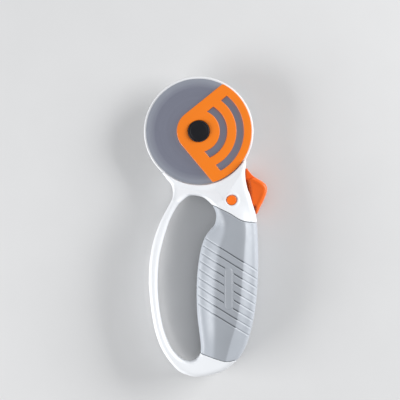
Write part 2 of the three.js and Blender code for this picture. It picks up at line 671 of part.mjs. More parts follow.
add("trigger", buildTrigger(), RED_ORANGE_PLASTIC);
add("trigger_pivot_pin", disc(TRIGGER_PIVOT, PIVOT_RADIUS, PIN_BOTTOM, PIN_TOP, 20), PLATED_STEEL);
add("guard_link_pin", disc(LINK_PIN, LINK_RADIUS, LINK_BOTTOM, LINK_TOP, 16), PLATED_STEEL);
add("trigger_return_spring", buildTriggerSpring(), PLATED_STEEL);

add("lock_button", buildButton(), RED_ORANGE_PLASTIC);
add("lock_button_rear_cap", buildButtonCap(), RED_ORANGE_PLASTIC);
add("lock_detent_wire", wirePath(WIRE.radius, WIRE.length), PLATED_STEEL);

SCREWS.forEach((at, i) => add(`body_screw_${i + 1}`, buildScrew(at), PLATED_STEEL));

export default cutter;
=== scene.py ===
"""The looks of a loop-handled rotary cutter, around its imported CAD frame.

The shells, the soft grips, the guard, the trigger and the screws are distance fields, meshed by surface
nets. The cover plate is an extruded outline, and the round parts are turned profiles. All of it is worked
out in millimetres, in the frame's axes, and every piece rides on the body of the CAD node it stands for.
"""

import json
import math

import bmesh
import bpy
import numpy as np
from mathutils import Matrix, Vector


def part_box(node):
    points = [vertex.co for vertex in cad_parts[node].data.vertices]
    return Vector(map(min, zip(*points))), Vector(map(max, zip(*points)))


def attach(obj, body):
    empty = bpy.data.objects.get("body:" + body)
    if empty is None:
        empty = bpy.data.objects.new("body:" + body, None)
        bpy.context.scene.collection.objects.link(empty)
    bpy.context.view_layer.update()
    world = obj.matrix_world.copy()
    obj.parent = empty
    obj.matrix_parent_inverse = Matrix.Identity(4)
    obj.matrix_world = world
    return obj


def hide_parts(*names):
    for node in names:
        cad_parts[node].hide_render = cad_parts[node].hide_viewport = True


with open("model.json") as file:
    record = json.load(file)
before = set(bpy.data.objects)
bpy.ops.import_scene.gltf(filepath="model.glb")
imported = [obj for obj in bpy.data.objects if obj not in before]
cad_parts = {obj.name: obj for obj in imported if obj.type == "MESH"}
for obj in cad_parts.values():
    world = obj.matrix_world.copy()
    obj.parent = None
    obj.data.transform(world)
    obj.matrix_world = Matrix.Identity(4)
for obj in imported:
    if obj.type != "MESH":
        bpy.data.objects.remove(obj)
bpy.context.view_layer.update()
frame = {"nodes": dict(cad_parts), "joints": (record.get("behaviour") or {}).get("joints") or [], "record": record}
MM = 0.001


def box_mm(node):
    """A CAD node's lowest and highest corner, in millimetres."""
    return tuple(np.array(corner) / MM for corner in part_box(node))


def centre_mm(node):
    low, high = box_mm(node)
    return (low + high) / 2


# ---------------- places taken from the frame

BLADE_LOW, BLADE_HIGH = box_mm("blade")
BLADE_RADIUS = BLADE_HIGH[0]
GUARD_LOW, GUARD_HIGH = box_mm("blade_guard")
GUARD_RADIUS = GUARD_HIGH[1]
COVER_LOW, COVER_HIGH = box_mm("blade_cover_plate")
BOLT_TOP = box_mm("blade_bolt")[1][2]
BOLT_HEAD = box_mm("blade_bolt")[1][0]
BUTTON_LOW, BUTTON_HIGH = box_mm("lock_button")
BUTTON = centre_mm("lock_button")[:2]
BUTTON_RADIUS = (BUTTON_HIGH - BUTTON_LOW)[0] / 2
CAP_LOW, CAP_HIGH = box_mm("lock_button_rear_cap")
PIVOT = centre_mm("trigger_pivot_pin")[:2]
LINK = centre_mm("guard_link_pin")[:2]
TRIGGER_LOW, TRIGGER_HIGH = box_mm("trigger")
NUT_HIGH = box_mm("blade_nut_knob")[1]
SCREWS = [node for node in sorted(frame["nodes"]) if node.startswith("body_screw")]
SCREW_SPOTS = [centre_mm(node)[:2] for node in SCREWS]
SCREW_LOW, SCREW_HIGH = box_mm(SCREWS[0])

JOINTS = {joint["name"]: joint for joint in frame["joints"]}
GUARD_WAY = np.array(JOINTS["guard_slide"]["axis"][:2])
DRAWN = GUARD_WAY * (JOINTS["guard_slide"]["range_m"][1] / MM)  # the guard's whole way
TRIGGER_TURN = math.radians(JOINTS["trigger_squeeze"]["range_deg"][1])

PARTING = 12.1  # the plane between the two body shells
BODY_BACK = 3.0
BODY_FRONT = 18.6
GRIP_FRONT = 24.0
COLLAR = 33.3  # the body's hollow round edge, just outside the blade
BRIDGE_FRONT = 14.8  # the low part of the body, between the blade and the loop
BRIDGE_RADIUS = 36.5  # the body rises to its full height outside this radius
RAMP_FOOT, RAMP_WAY, RAMP_SLOPE = (10.5, -34.0), (0.85, -0.53), 0.42  # and along this ramp beside the blade
TRIGGER_WEB = 9.9  # top of the trigger's thin part
MECHANISM_TOP = 14.2  # top of the hollow over the trigger's arm
SEAM = 0.12  # half the gap between neighbours that touch
PLAY = 0.3  # the gap round a piece that moves
SWEEP_PLAY = 0.35  # and beside the trigger, which turns
SKIN = 2.2  # thickness of the soft grip

# ---------------- outlines, in millimetres

RIGHT_SIDE = [
    (29.0, -21.8), (28.6, -25.2), (29, -30.7), (30.3, -36.3), (32.4, -43.7), (34.6, -51.1), (35.6, -58.5),
    (36.1, -69.6), (36.3, -80), (36, -91.9), (35.2, -103), (33.7, -114.1), (31.1, -125.3), (28.6, -132.7),
    (24.6, -139.5), (19.3, -144.4), (13.2, -148.1), (4.5, -150.7),
]
LEFT_SIDE = [
    (-3.5, -151.2), (-10.3, -148.6), (-15.3, -144.9), (-19.9, -139.2), (-23.6, -132.7), (-26.3, -125.3),
    (-28.2, -117), (-29.7, -106.7), (-30.7, -95), (-30.6, -84.5), (-29.8, -77.1), (-28.4, -69.6),
    (-26.2, -62.2), (-23.2, -54.8), (-19.3, -47.4), (-16.6, -42.2), (-15.8, -37.4), (-17, -33),
    (-19.8, -29.6),
]
OPENING = [
    (-1.7, -39.4), (-6.5, -40.2), (-11.1, -43.7), (-14.2, -47.6), (-17.9, -54.8), (-20.5, -62.2),
    (-22.6, -69.6), (-24.3, -77.1), (-25.2, -85.7), (-25.4, -95.6), (-24.7, -106.7), (-22.9, -117.9),
    (-20.6, -126), (-17.2, -133.5), (-12.7, -139), (-7.6, -142), (-2.4, -141.6), (1, -138.3), (1.9, -132.8),
    (0.8, -122.8), (-0.1, -115.4), (-0.6, -106.7), (-0.7, -98.1), (-0.3, -88.2), (0.9, -78.3), (2.3, -71.5),
    (4.4, -65.6), (7.4, -61.4), (10.3, -57.6), (11.2, -52.3), (9.9, -47.4), (7, -43.5), (3.1, -40.4),
]
TRIGGER_OUTSIDE = [
    (29.8, -22.9), (31.4, -25.2), (33.6, -27.7), (36.4, -29.4), (39.1, -31), (41.2, -32.9), (42.2, -35.2),
    (41.7, -38.6), (40, -42.8), (37.9, -47), (36.2, -50.6), (33.6, -52.4),
]
TRIGGER_INSIDE = [(27.8, -50.4), (27.6, -46), (27.9, -40), (26.8, -34), (26.6, -28), (27.6, -23.6)]
GRIP_UPPER_EDGE = [
    (-9, -43), (-2, -44), (8.5, -45.6), (13.2, -47.6), (20.1, -51.2), (24.8, -54.2), (30.3, -55.9),
    (45, -56.6),
]
GRIP_LOWER_EDGE = [
    (45, -138.5), (23.1, -141.3), (17.5, -142), (12.5, -141), (2.7, -137.4), (-3, -134.5), (-9, -131),
]


def polar(radius, degrees):
    """A place (x, y), or rows of them, at a radius and at angles in degrees."""
    angle = np.radians(degrees)
    return np.stack([radius * np.cos(angle), radius * np.sin(angle)], axis=-1)


def arc(centre, radius, start, end, steps=48):
    return np.asarray(centre) + polar(radius, np.linspace(start, end, steps))


def smooth_curve(points, closed=False):
    """A Catmull-Rom curve through the points."""
    p = np.asarray(points, float)
    if closed:
        p = np.vstack([p[-1:], p, p[:2]])
    else:
        p = np.vstack([2 * p[:1] - p[1:2], p, 2 * p[-1:] - p[-2:-1]])
    t = np.linspace(0, 1, 8, endpoint=False)[:, None]
    spans = []
    for a, b, c, d in zip(p[:-3], p[1:-2], p[2:-1], p[3:]):
        bend = (2 * a - 5 * b + 4 * c - d) * t**2 + (3 * b - a - 3 * c + d) * t**3
        spans.append(b + 0.5 * ((c - a) * t + bend))
    curve = np.vstack(spans)
    return curve if closed else np.vstack([curve, p[-2:-1]])


def along(stations):
    """A smooth value read off a few (y, value) stations, in falling order of y."""
    y, value = smooth_curve(stations).T
    return lambda at: np.interp(-np.asarray(at), -y, value)


HORN_LEFT = polar(COLLAR + 1.3, 229)
HORN_RIGHT = polar(COLLAR + 1.5, -33)
HORN_LENGTH, HORN_SLOPE = 8.5, 0.75  # how far from its tip, and how steeply, the left horn's back rises
RAMP_SHARE, HORN_SHARE = 0.92, 0.8  # a height over a slope, times this, is about the distance to it
BODY_RING = np.vstack([
    smooth_curve([HORN_RIGHT, *RIGHT_SIDE, *LEFT_SIDE, HORN_LEFT]),
    [(HORN_LEFT[0] + 1, 0), (HORN_RIGHT[0] - 0.3, 0)],
])
OPENING_RING = smooth_curve(OPENING, closed=True)
TRIGGER_RING = np.vstack([smooth_curve(TRIGGER_OUTSIDE), TRIGGER_INSIDE])
ZONE_RING = np.vstack([smooth_curve(GRIP_UPPER_EDGE), smooth_curve(GRIP_LOWER_EDGE)])
ARM_RING = np.vstack([
    smooth_curve([(-15.8, -37), (-16.6, -30), (-18, -20), (-18.4, -10)]),
    arc((0, 0), 18.6, 200, -20),
    smooth_curve([(20, -12), (24.6, -18.4), (28.4, -22.6), (29, -30)]),
    [(20, -40)],
])

# The grip's flats, sides and heights, along Y. Its sides follow the opening's and the body's right sides.
flat_left = along([
    (-30, 8), (-40, 10), (-58.5, 16.3), (-73, 12.9), (-88, 11), (-103, 10.4), (-132, 10), (-160, 8),
])
flat_right = along([
    (-30, 22), (-40, 25), (-58.5, 28.6), (-73, 28), (-88, 26.8), (-103, 25.5), (-118, 23), (-132, 19),
    (-160, 12),
])
side_left = along([
    (-30, -3), (-40, 3.1), *((y, x) for x, y in OPENING[-2:16:-1]), (-142, -2), (-160, -12),
])
side_right = along([
    (-30, 29), (-40, 31.3), *((y, x) for x, y in RIGHT_SIDE[4:15]), (-142, 22), (-160, 6),
])
grip_high = along([
    (-30, 13), (-40, 17), (-46, 19.6), (-56, 22.5), (-70, 23.7), (-82, GRIP_FRONT), (-105, GRIP_FRONT),
    (-120, 23.2), (-132, 21), (-142, 18.4), (-160, 13),
])
grip_low = along([
    (-30, 4), (-40, 3.2), (-48, 2.4), (-58, 1), (-70, 0.2), (-82, 0), (-105, 0), (-120, 0.6), (-132, 1.8),
    (-142, 3.2), (-160, 5),
])

# ---------------- distance fields


def smooth_max(a, b, blend):
    """The greater of two fields, with the crease between them rounded over blend millimetres."""
    near = np.maximum(blend - np.abs(a - b), 0) / blend
    return np.maximum(a, b) + near * near * blend / 4


def smooth_min(a, b, blend):
    return -smooth_max(-a, -b, blend)


def ring_distance(x, y, ring):
    """Signed distance in the plane to a closed ring, negative inside it."""
    nearest = np.full(x.shape, np.inf)
    inside = np.zeros(x.shape, bool)
    for (ax, ay), (bx, by) in zip(ring, np.roll(ring, -1, axis=0)):
        ex, ey = bx - ax, by - ay
        px, py = x - ax, y - ay
        length = ex * ex + ey * ey
        if length == 0:
            continue
        t = np.clip((px * ex + py * ey) / length, 0, 1)
        nearest = np.minimum(nearest, (px - t * ex) ** 2 + (py - t * ey) ** 2)
        if ay != by:
            inside ^= ((ay > y) != (by > y)) & (px < ex * py / ey)
    return np.where(inside, -1, 1) * np.sqrt(nearest)


def disc(x, y, centre, radius):
    """Signed distance in the plane to a disc."""
    return np.hypot(x - centre[0], y - centre[1]) - radius


def capsule(x, y, a, b, radius):
    """Signed distance in the plane to a bar with round ends, from a to b."""
    ex, ey = b[0] - a[0], b[1] - a[1]
    t = np.clip(((x - a[0]) * ex + (y - a[1]) * ey) / (ex * ex + ey * ey), 0, 1)
    return np.hypot(x - a[0] - t * ex, y - a[1] - t * ey) - radius


def slab(z, low, high):
    return np.maximum(low - z, z - high)


def prism(plan, z, low, high):
    """A distance in the plane drawn out between two heights, with sharp edges."""
    return np.maximum(plan, slab(z, low, high))


def bump(offset, width):
    """A soft bump: 1 where the offset is 0, and gone at about twice the width."""
    return np.exp(-((offset / width) ** 2))


def ease(value, start, end):
    """0 before start, 1 after end, and a smooth step between them."""
    t = np.clip((value - start) / (end - start), 0, 1)
    return t * t * (3 - 2 * t)


def turned_about(point, pivot, angle):
    """A point (x, y), or a grid of them, turned about a pivot by an angle in radians."""
    dx, dy = point[0] - pivot[0], point[1] - pivot[1]
    cos, sin = math.cos(angle), math.sin(angle)
    return pivot[0] + cos * dx - sin * dy, pivot[1] + sin * dx + cos * dy


def turned_rows(rows, angle):
    """Rows of x, y and perhaps z, turned about the Z axis by an angle in radians."""
    return np.column_stack([*turned_about(rows[:, :2].T, (0, 0), angle), rows[:, 2:]])


class PlaneMap:
    """A field over the XY plane, worked out once on a grid and then read between its points."""

    LOW = np.array([-44.0, -160.0])
    HIGH = np.array([54.0, 46.0])
    STEP = 0.4

    def __init__(self, field):
        self.counts = np.ceil((self.HIGH - self.LOW) / self.STEP).astype(int) + 1
        x, y = (self.LOW[i] + self.STEP * np.arange(self.counts[i]) for i in (0, 1))
        self.values = field(*np.meshgrid(x, y, indexing="ij"))

    def __call__(self, x, y):
        u = np.clip((x - self.LOW[0]) / self.STEP, 0, self.counts[0] - 1.001)
        v = np.clip((y - self.LOW[1]) / self.STEP, 0, self.counts[1] - 1.001)
        i, j = u.astype(int), v.astype(int)
        u, v = u - i, v - j
        low = self.values[i, j] * (1 - v) + self.values[i, j + 1] * v
        high = self.values[i + 1, j] * (1 - v) + self.values[i + 1, j + 1] * v
        return low * (1 - u) + high * u


def other_axes(axis):
    return [i for i in range(3) if i != axis]


def crossed_edges(values, axis):
    """The grid edges along an axis that cross the surface, how far along, and which of them start inside."""
    first = np.moveaxis(values, axis, 0)[:-1]
    second = np.moveaxis(values, axis, 0)[1:]
    crossing = (first < 0) != (second < 0)
    share = np.where(crossing, first / np.where(crossing, first - second, 1), 0)
    return crossing, share, first < 0


def cell_points(edges, cells):
    """The mean of the crossings round each cell that has any, counted in cells, and which cells these are."""
    total = np.zeros((*cells, 3), np.float32)
    number = np.zeros(cells, np.int8)
    for axis, (crossing, share, _) in enumerate(edges):
        side, other = other_axes(axis)
        for d in (0, 1):
            for e in (0, 1):
                window = (slice(None), slice(d, d + cells[side]), slice(e, e + cells[other]))
                hit = np.moveaxis(crossing[window], 0, axis)
                number += hit
                total[..., axis] += np.moveaxis(share[window], 0, axis)
                total[..., side] += d * hit
                total[..., other] += e * hit
    used = number > 0
    return np.argwhere(used) + total[used] / number[used][:, None], used


def edge_quads(edges, index):
    """One quad across each crossed edge, between the points of the four cells round it, facing outwards."""
    quads = []
    inner = (slice(None), slice(1, -1), slice(1, -1))
    for axis, (crossing, _, starts_inside) in enumerate(edges):
        rolled = np.moveaxis(index, axis, 0)
        hit = crossing[inner]
        around = [rolled[:, :-1, :-1], rolled[:, 1:, :-1], rolled[:, 1:, 1:], rolled[:, :-1, 1:]]
        faces = np.stack([corner[hit] for corner in around], axis=1)
        outward = starts_inside[inner][hit]
        flip = outward if axis == 1 else ~outward
        faces[flip] = faces[flip][:, ::-1]
        quads.append(faces)
    return np.vstack(quads)


def surface_net(field, low, high, steps, turn=0.0):
    """The surface where a field is zero, as points and quads, in a box turned about Z by turn."""
    low, steps = np.asarray(low, float), np.asarray(steps, float)
    counts = np.ceil((np.asarray(high) - low) / steps).astype(int) + 1
    u, v, w = (low[i] + steps[i] * np.arange(counts[i]) for i in range(3))
    x, y = turned_about(np.meshgrid(u, v, indexing="ij"), (0, 0), turn)
    values = field(x[..., None], y[..., None], w[None, None, :])
    values = np.array(np.broadcast_to(values, counts), np.float32)
    edges = [crossed_edges(values, axis) for axis in range(3)]
    places, used = cell_points(edges, counts - 1)
    index = np.full(used.shape, -1, np.int64)
    index[used] = np.arange(len(places))
    return turned_rows(low + places * steps, turn), edge_quads(edges, index)


def slope(field, points, reach=0.04):
    """The field's gradient at the points, from its values a little way off on either side."""
    columns = []
    for shift in reach * np.eye(3):
        columns.append((field(*(points + shift).T) - field(*(points - shift).T)) / (2 * reach))
    return np.stack(columns, axis=1)


def settled(field, points, furthest):
    """The points moved onto the field's zero surface, with the outward normals there."""
    for _ in range(3):
        gradient = slope(field, points)
        square = np.maximum((gradient**2).sum(1), 0.05)
        move = -(field(*points.T) / square)[:, None] * gradient
        length = np.maximum(np.linalg.norm(move, axis=1), 1e-9)
        points = points + move * np.minimum(1, furthest / length)[:, None]
    gradient = slope(field, points)
    return points, gradient / np.maximum(np.linalg.norm(gradient, axis=1), 1e-9)[:, None]


# ---------------- pieces

SHARP_EDGE = 32  # degrees of bend above which an edge is shaded as a real one


def show(obj, node, material):
    """Puts a finished piece in place of a CAD node."""
    body = next(name for name, nodes in frame["record"]["behaviour"]["bodies"].items() if node in nodes)
    obj.data.materials.clear()
    obj.data.materials.append(material)
    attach(obj, body)
    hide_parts(node)


def link(name, mesh):
    obj = bpy.data.objects.new(name, mesh)
    bpy.context.scene.collection.objects.link(obj)
    return obj


def net_piece(name, field, low, high, steps, turn=0.0, painted_shade=None):
    """A distance field as a smooth mesh; the last argument gives a painted light-and-shade value at each point for
    the material to read.
    """
    points, quads = surface_net(field, low, high, steps, turn)
    points, normals = settled(field, points, 0.6 * min(steps))
    mesh = bpy.data.meshes.new(name)
    mesh.vertices.add(len(points))
    mesh.vertices.foreach_set("co", (points * MM).ravel())
    mesh.loops.add(quads.size)
    mesh.loops.foreach_set("vertex_index", quads.ravel().astype(np.int32))
    mesh.polygons.add(len(quads))
    mesh.polygons.foreach_set("loop_start", np.arange(0, quads.size, 4, dtype=np.int32))
    mesh.update(calc_edges=True)
    mesh.shade_smooth()
    mesh.normals_split_custom_set_from_vertices(normals.tolist())
    if painted_shade:
        shade = mesh.attributes.new("painted_shade", "FLOAT", "POINT")
        shade.data.foreach_set("value", painted_shade(*points.T).astype(np.float32))
    return link(name, mesh)


def cleaned(mesh):
    """The mesh without doubled points, facing outwards, smooth but for its real edges."""
    work = bmesh.new()
    work.from_mesh(mesh)
    bmesh.ops.remove_doubles(work, verts=work.verts, dist=0.002 * MM)
    bmesh.ops.recalc_face_normals(work, faces=work.faces)
    work.to_mesh(mesh)
    work.free()
    mesh.shade_smooth()
    mesh.set_sharp_from_angle(angle=math.radians(SHARP_EDGE))
    return mesh


def plate_curve(name, rings, thickness, bevel):
    """The curve whose filled and bevelled body is a flat plate; the rings after the first are holes."""
    curve = bpy.data.curves.new(name, "CURVE")
    curve.dimensions = "2D"
    curve.fill_mode = "BOTH"
    curve.extrude = (thickness / 2 - bevel) * MM
    curve.bevel_depth = bevel * MM
    curve.bevel_resolution = 3
    curve.offset = -bevel * MM
    for ring in rings:
        spline = curve.splines.new("POLY")
        spline.points.add(len(ring) - 1)
        flat = np.zeros((len(ring), 4))
        flat[:, :2] = np.asarray(ring) * MM
        flat[:, 3] = 1
        spline.points.foreach_set("co", flat.ravel())
        spline.use_cyclic_u = True
    return curve


def plate_piece(name, rings, low, high, bevel):
    """A flat plate between two heights, with rounded edges."""
    curve = plate_curve(name, rings, high - low, bevel)
    holder = link(name + "_curve", curve)
    seen = holder.evaluated_get(bpy.context.evaluated_depsgraph_get())
    mesh = bpy.data.meshes.new_from_object(seen)
    bpy.data.objects.remove(holder)
    bpy.data.curves.remove(curve)
    mesh.name = name
    coords = np.empty(len(mesh.vertices) * 3, np.float32)
    mesh.vertices.foreach_get("co", coords)
    coords[2::3] += (low + high) / 2 * MM
    mesh.vertices.foreach_set("co", coords)
    return link(name, cleaned(mesh))


def bend_round(before, corner, after, radius, most, steps):
    """A soft bend in place of a corner; it starts radius from it, or at a share, most, of a short side."""
    ways = (before - corner, after - corner)
    lengths = [np.linalg.norm(way) for way in ways]
    reach = min(radius, *(most * length for length in lengths))
    a, b = (way / length * reach for way, length in zip(ways, lengths))
    return [corner + a * (1 - t) ** 2 + b * t**2 for t in np.linspace(0, 1, steps + 1)]


def rounded(profile, radius):
    """A profile with each inner corner rounded."""
    p = np.asarray(profile, float)
    bends = [bend_round(*corner, radius, 0.5, 4) for corner in zip(p[:-2], p[1:-1], p[2:])]
    return np.vstack([p[0], *bends, p[-1]])


def no_flutes(degrees, z, radius):
    return 0 * degrees


def turned_piece(name, centre, profile, sides, flutes=no_flutes):
    """A solid of revolution from (radius, z) pairs that start and end on the axis, or close on themselves."""
    work = bmesh.new()
    degrees = np.linspace(0, 360, sides, endpoint=False)
    rows = []
    for radius, z in profile:
        turns = degrees if radius > 1e-6 else degrees[:1]
        radii = radius - flutes(turns, z, radius)
        places = centre + polar(1.0, turns) * radii[:, None]
        rows.append([work.verts.new((*(place * MM), z * MM)) for place in places])
    for lower, upper in zip(rows[:-1], rows[1:]):
        for i in range(sides):
            j = (i + 1) % sides
            around = ((lower, i), (lower, j), (upper, j), (upper, i))
            corners = list(dict.fromkeys(row[k % len(row)] for row, k in around))
            if len(corners) > 2:
                work.faces.new(corners)
    mesh = bpy.data.meshes.new(name)
    work.to_mesh(mesh)
    work.free()
    return link(name, cleaned(mesh))


# ---------------- materials

COLOUR_A, COLOUR_B, COLOUR_OUT = 6, 7, 2  # a colour Mix node's sockets, whose names its other kinds share


class Nodes:
    """A short way to build a material's node tree."""

    def __init__(self, name):
        self.material = bpy.data.materials.new(name)
        self.material.use_nodes = True
        self.tree = self.material.node_tree
        self.shader = self.tree.nodes["Principled BSDF"]
        self.place = self.add("ShaderNodeTexCoord", {})["Object"]

    def feed(self, target, source):
        """Joins a socket to another socket, or sets it to a number or a colour."""
        if isinstance(source, bpy.types.NodeSocket):
            self.tree.links.new(source, target)
        else:
            target.default_value = (*source, 1) if isinstance(source, tuple) else source

    def add(self, kind, inputs, **settings):
        """Adds a node, feeds its inputs, and gives back its outputs."""
        node = self.tree.nodes.new(kind)
        for key, value in settings.items():
            setattr(node, key, value)
        for key, source in inputs.items():
            self.feed(node.inputs[key], source)
        return node.outputs

    def noise(self, size_mm, detail=2.0, place=None):
        """Noise whose grains are about size_mm across."""
        inputs = {"Scale": 1 / (size_mm * MM), "Detail": detail, "Vector": place or self.place}
        return self.add("ShaderNodeTexNoise", inputs)["Fac"]

    def spread(self, value, low, high, start=0.3, end=0.7):
        """A value that runs from start to end, stretched to run from low to high."""
        inputs = {"Value": value, "From Min": start, "From Max": end, "To Min": low, "To Max": high}
        return self.add("ShaderNodeMapRange", inputs)["Result"]

    def mixed(self, factor, first, second, **settings):
        inputs = {"Factor": factor, COLOUR_A: first, COLOUR_B: second}
        return self.add("ShaderNodeMix", inputs, data_type="RGBA", **settings)[COLOUR_OUT]

    def mottled(self, factor, colour, low, high):
        """A colour that varies between two shades of itself."""
        return self.mixed(factor, toned(colour, low), toned(colour, high))

    def about_axis(self, way_mm):
        """The distance from the Z axis; and a place made of it and of the angle, way_mm to a radian."""
        x, y, _ = self.add("ShaderNodeSeparateXYZ", {0: self.place})
        flat = self.add("ShaderNodeCombineXYZ", {0: x, 1: y})[0]
        radius = self.add("ShaderNodeVectorMath", {0: flat}, operation="LENGTH")["Value"]
        angle = self.add("ShaderNodeMath", {0: y, 1: x}, operation="ARCTAN2")[0]
        way = self.add("ShaderNodeMath", {0: angle, 1: way_mm * MM}, operation="MULTIPLY")[0]
        return radius, self.add("ShaderNodeCombineXYZ", {0: radius, 1: way})[0]

    def bumped(self, height, depth_mm, **under):
        return self.add("ShaderNodeBump", {"Distance": depth_mm * MM, "Height": height, **under})["Normal"]

    def surface(self, inputs):
        """The finished material, its shader's inputs fed."""
        for key, source in inputs.items():
            self.feed(self.shader.inputs[key], source)
        return self.material


def linear(*screen):
    """A screen colour, 0 to 255, as a linear one."""
    shares = [value / 255 for value in screen]
    return tuple(((s + 0.055) / 1.055) ** 2.4 if s > 0.04045 else s / 12.92 for s in shares)


def toned(colour, factor):
    return tuple(min(1, c * factor) for c in colour)


def moulded_plastic(name, colour, roughness, grain_mm=0.5, depth_mm=0.004, gloss=0.5):
    """Moulded plastic: a spark-eroded grain, faint flow marks in the colour, and a varying gloss."""
    m = Nodes(name)
    return m.surface({
        "Base Color": m.mottled(m.noise(22, 3), colour, 0.95, 1.04),
        "Roughness": m.spread(m.noise(6, 4), roughness * 0.85, roughness * 1.15),
        "Normal": m.bumped(m.noise(grain_mm, 3), depth_mm),
        "Specular IOR Level": gloss,
    })


def soft_rubber(name, colour):
    """Soft-touch elastomer: a matte skin with fine pores, its colour multiplied by a painted light-and-shade value
    at each point: painted shade on its flat middle and in its grooves, painted light on its sides.
    """
    m = Nodes(name)
    painted_shade = m.add("ShaderNodeAttribute", {}, attribute_name="painted_shade")["Color"]
    mottled = m.mottled(m.noise(15, 4), colour, 0.95, 1.04)
    pores = m.bumped(m.noise(0.28, 2), 0.018)
    return m.surface({
        # painted shade: the colour is multiplied by the grip's painted light-and-shade value
        "Base Color": m.mixed(1, mottled, painted_shade, blend_type="MULTIPLY"),
        "Roughness": m.spread(m.noise(3, 3), 0.42, 0.56),
        "Normal": m.bumped(m.noise(1.6, 3), 0.02, Normal=pores),
        "Sheen Weight": 0.15,
        "Sheen Roughness": 0.5,
        "Specular IOR Level": 0.6,
    })


def ground_steel(name, colour, bevel_and_sheen_colour, roughness, ring_mm=0.12):
    """Steel ground on a turning table: fine rings about the Z axis, broken up a little along their length.

    Towards the rim, over the ground bevel, its colour goes over softly to a lighter edge colour: partly the
    finer-ground steel's own finish, partly a painted reflection of light.
    """
    m = Nodes(name)
    radius, rings = m.about_axis(ring_mm * 6)
    lines = m.noise(ring_mm, 2, rings)
    broad = m.noise(ring_mm * 14, 2, rings)
    band = m.spread(radius, 0, 1, *(end * MM for end in GROUND_AND_SHEEN_BAND))
    return m.surface({
        "Base Color": m.mixed(band, *(m.mottled(broad, c, 0.92, 1.06) for c in (colour, bevel_and_sheen_colour))),
        "Roughness": m.spread(lines, roughness * 0.85, roughness * 1.2),
        "Normal": m.bumped(lines, 0.0022),
        "Metallic": 1,
    })


def plated_steel(name, colour, roughness):
    """Zinc plating: a bright, faintly mottled coat."""
    m = Nodes(name)
    return m.surface({
        "Base Color": m.mottled(m.noise(1.2, 4), colour, 0.88, 1.06),
        "Roughness": m.spread(m.noise(0.4, 3), roughness * 0.8, roughness * 1.3),
        "Normal": m.bumped(m.noise(0.2, 2), 0.002),
        "Metallic": 1,
    })


def orange(name, screen, **settings):
    return moulded_plastic(name, linear(*screen), grain_mm=0.4, **settings)


WHITE = moulded_plastic("white_plastic", linear(238, 240, 243), roughness=0.34)
GUARD_WHITE = moulded_plastic("guard_plastic", linear(240, 241, 243), roughness=0.36, grain_mm=0.4)
GREY = soft_rubber("grey_elastomer", linear(170, 175, 182))
ORANGE = orange("orange_plastic", (243, 126, 14), roughness=0.36, depth_mm=0.005)
RED_ORANGE = orange("red_orange_plastic", (250, 106, 14), roughness=0.34, depth_mm=0.005)
BUTTON_ORANGE = orange("button_plastic", (250, 116, 16), roughness=0.3)
BLACK = moulded_plastic(
    "black_plastic", linear(14, 14, 20), roughness=0.5, grain_mm=0.35, depth_mm=0.008, gloss=0.3
)
GROUND_AND_SHEEN_BAND = (26.8, 31)  # GROUND_AND_SHEEN_BAND = (26.8, 31) # the radii between which the blade's colour goes lighter towards its rim: partly the ground bevel's finish, partly a painted reflection
STEEL = ground_steel("blade_steel", (0.42, 0.435, 0.535), (0.6, 0.63, 0.72), roughness=0.36)
ZINC = plated_steel("zinc_plate", (0.66, 0.67, 0.69), roughness=0.28)

# ---------------- body fields

body_map = PlaneMap(
    lambda x, y: np.maximum(ring_distance(x, y, BODY_RING), -ring_distance(x, y, OPENING_RING))
)
zone_map = PlaneMap(lambda x, y: ring_distance(x, y, ZONE_RING))
arm_map = PlaneMap(lambda x, y: ring_distance(x, y, ARM_RING))
trigger_map = PlaneMap(lambda x, y: ring_distance(x, y, TRIGGER_RING))


TRIGGER_ARM = 2.6  # half the width of the trigger's arm
GUARD_NECK, GUARD_TAIL = 4.2, 3.0  # half widths of its neck, to the button, and its tail, to the link
NECK_ROOT = GUARD_WAY * 20  # where the neck starts, inside the guard's disc
NECK_BLEND = 3.0


def trigger_web(x, y):
    """Distance in the plane to the trigger, with its arm to the link pin."""
    return np.minimum(trigger_map(x, y), capsule(x, y, PIVOT, LINK, TRIGGER_ARM))


def swept_trigger(x, y):
    """Distance in the plane to the room that the trigger crosses as it is squeezed."""
    turns = np.linspace(0, -TRIGGER_TURN, 9)
    return np.minimum.reduce([trigger_web(*turned_about((x, y), PIVOT, turn)) for turn in turns])


def guard_room(x, y):
    """Distance in the plane to the room that the guard crosses as it is drawn back."""
    swept_disc = capsule(x, y, (0, 0), DRAWN, GUARD_RADIUS)
    neck = capsule(x, y, NECK_ROOT, BUTTON + DRAWN, GUARD_NECK)
    tails = (capsule(x, y, BUTTON + way, LINK + way, GUARD_TAIL) for way in (0, DRAWN))
    return np.minimum(smooth_min(swept_disc, neck, NECK_BLEND), np.minimum(*tails))


sweep_map = PlaneMap(swept_trigger)
guard_map = PlaneMap(guard_room)


def lean(x, z, from_point, to_point):
    """Signed distance in XZ to the line through two points, positive on the outside of the grip."""
    (ax, az), (bx, bz) = from_point, to_point
    dx, dz = bx - ax, bz - az
    return ((z - az) * dx - (x - ax) * dz) / np.hypot(dx, dz)


SIDE_HALF = 4.0  # half height of the grip's upright sides
SHOULDER = (0.3, 0.42)  # share of the way in, and up, at which a slanted side bends
CREASES = (3.0, 1.6)  # how softly the flat goes over to its left and its right side


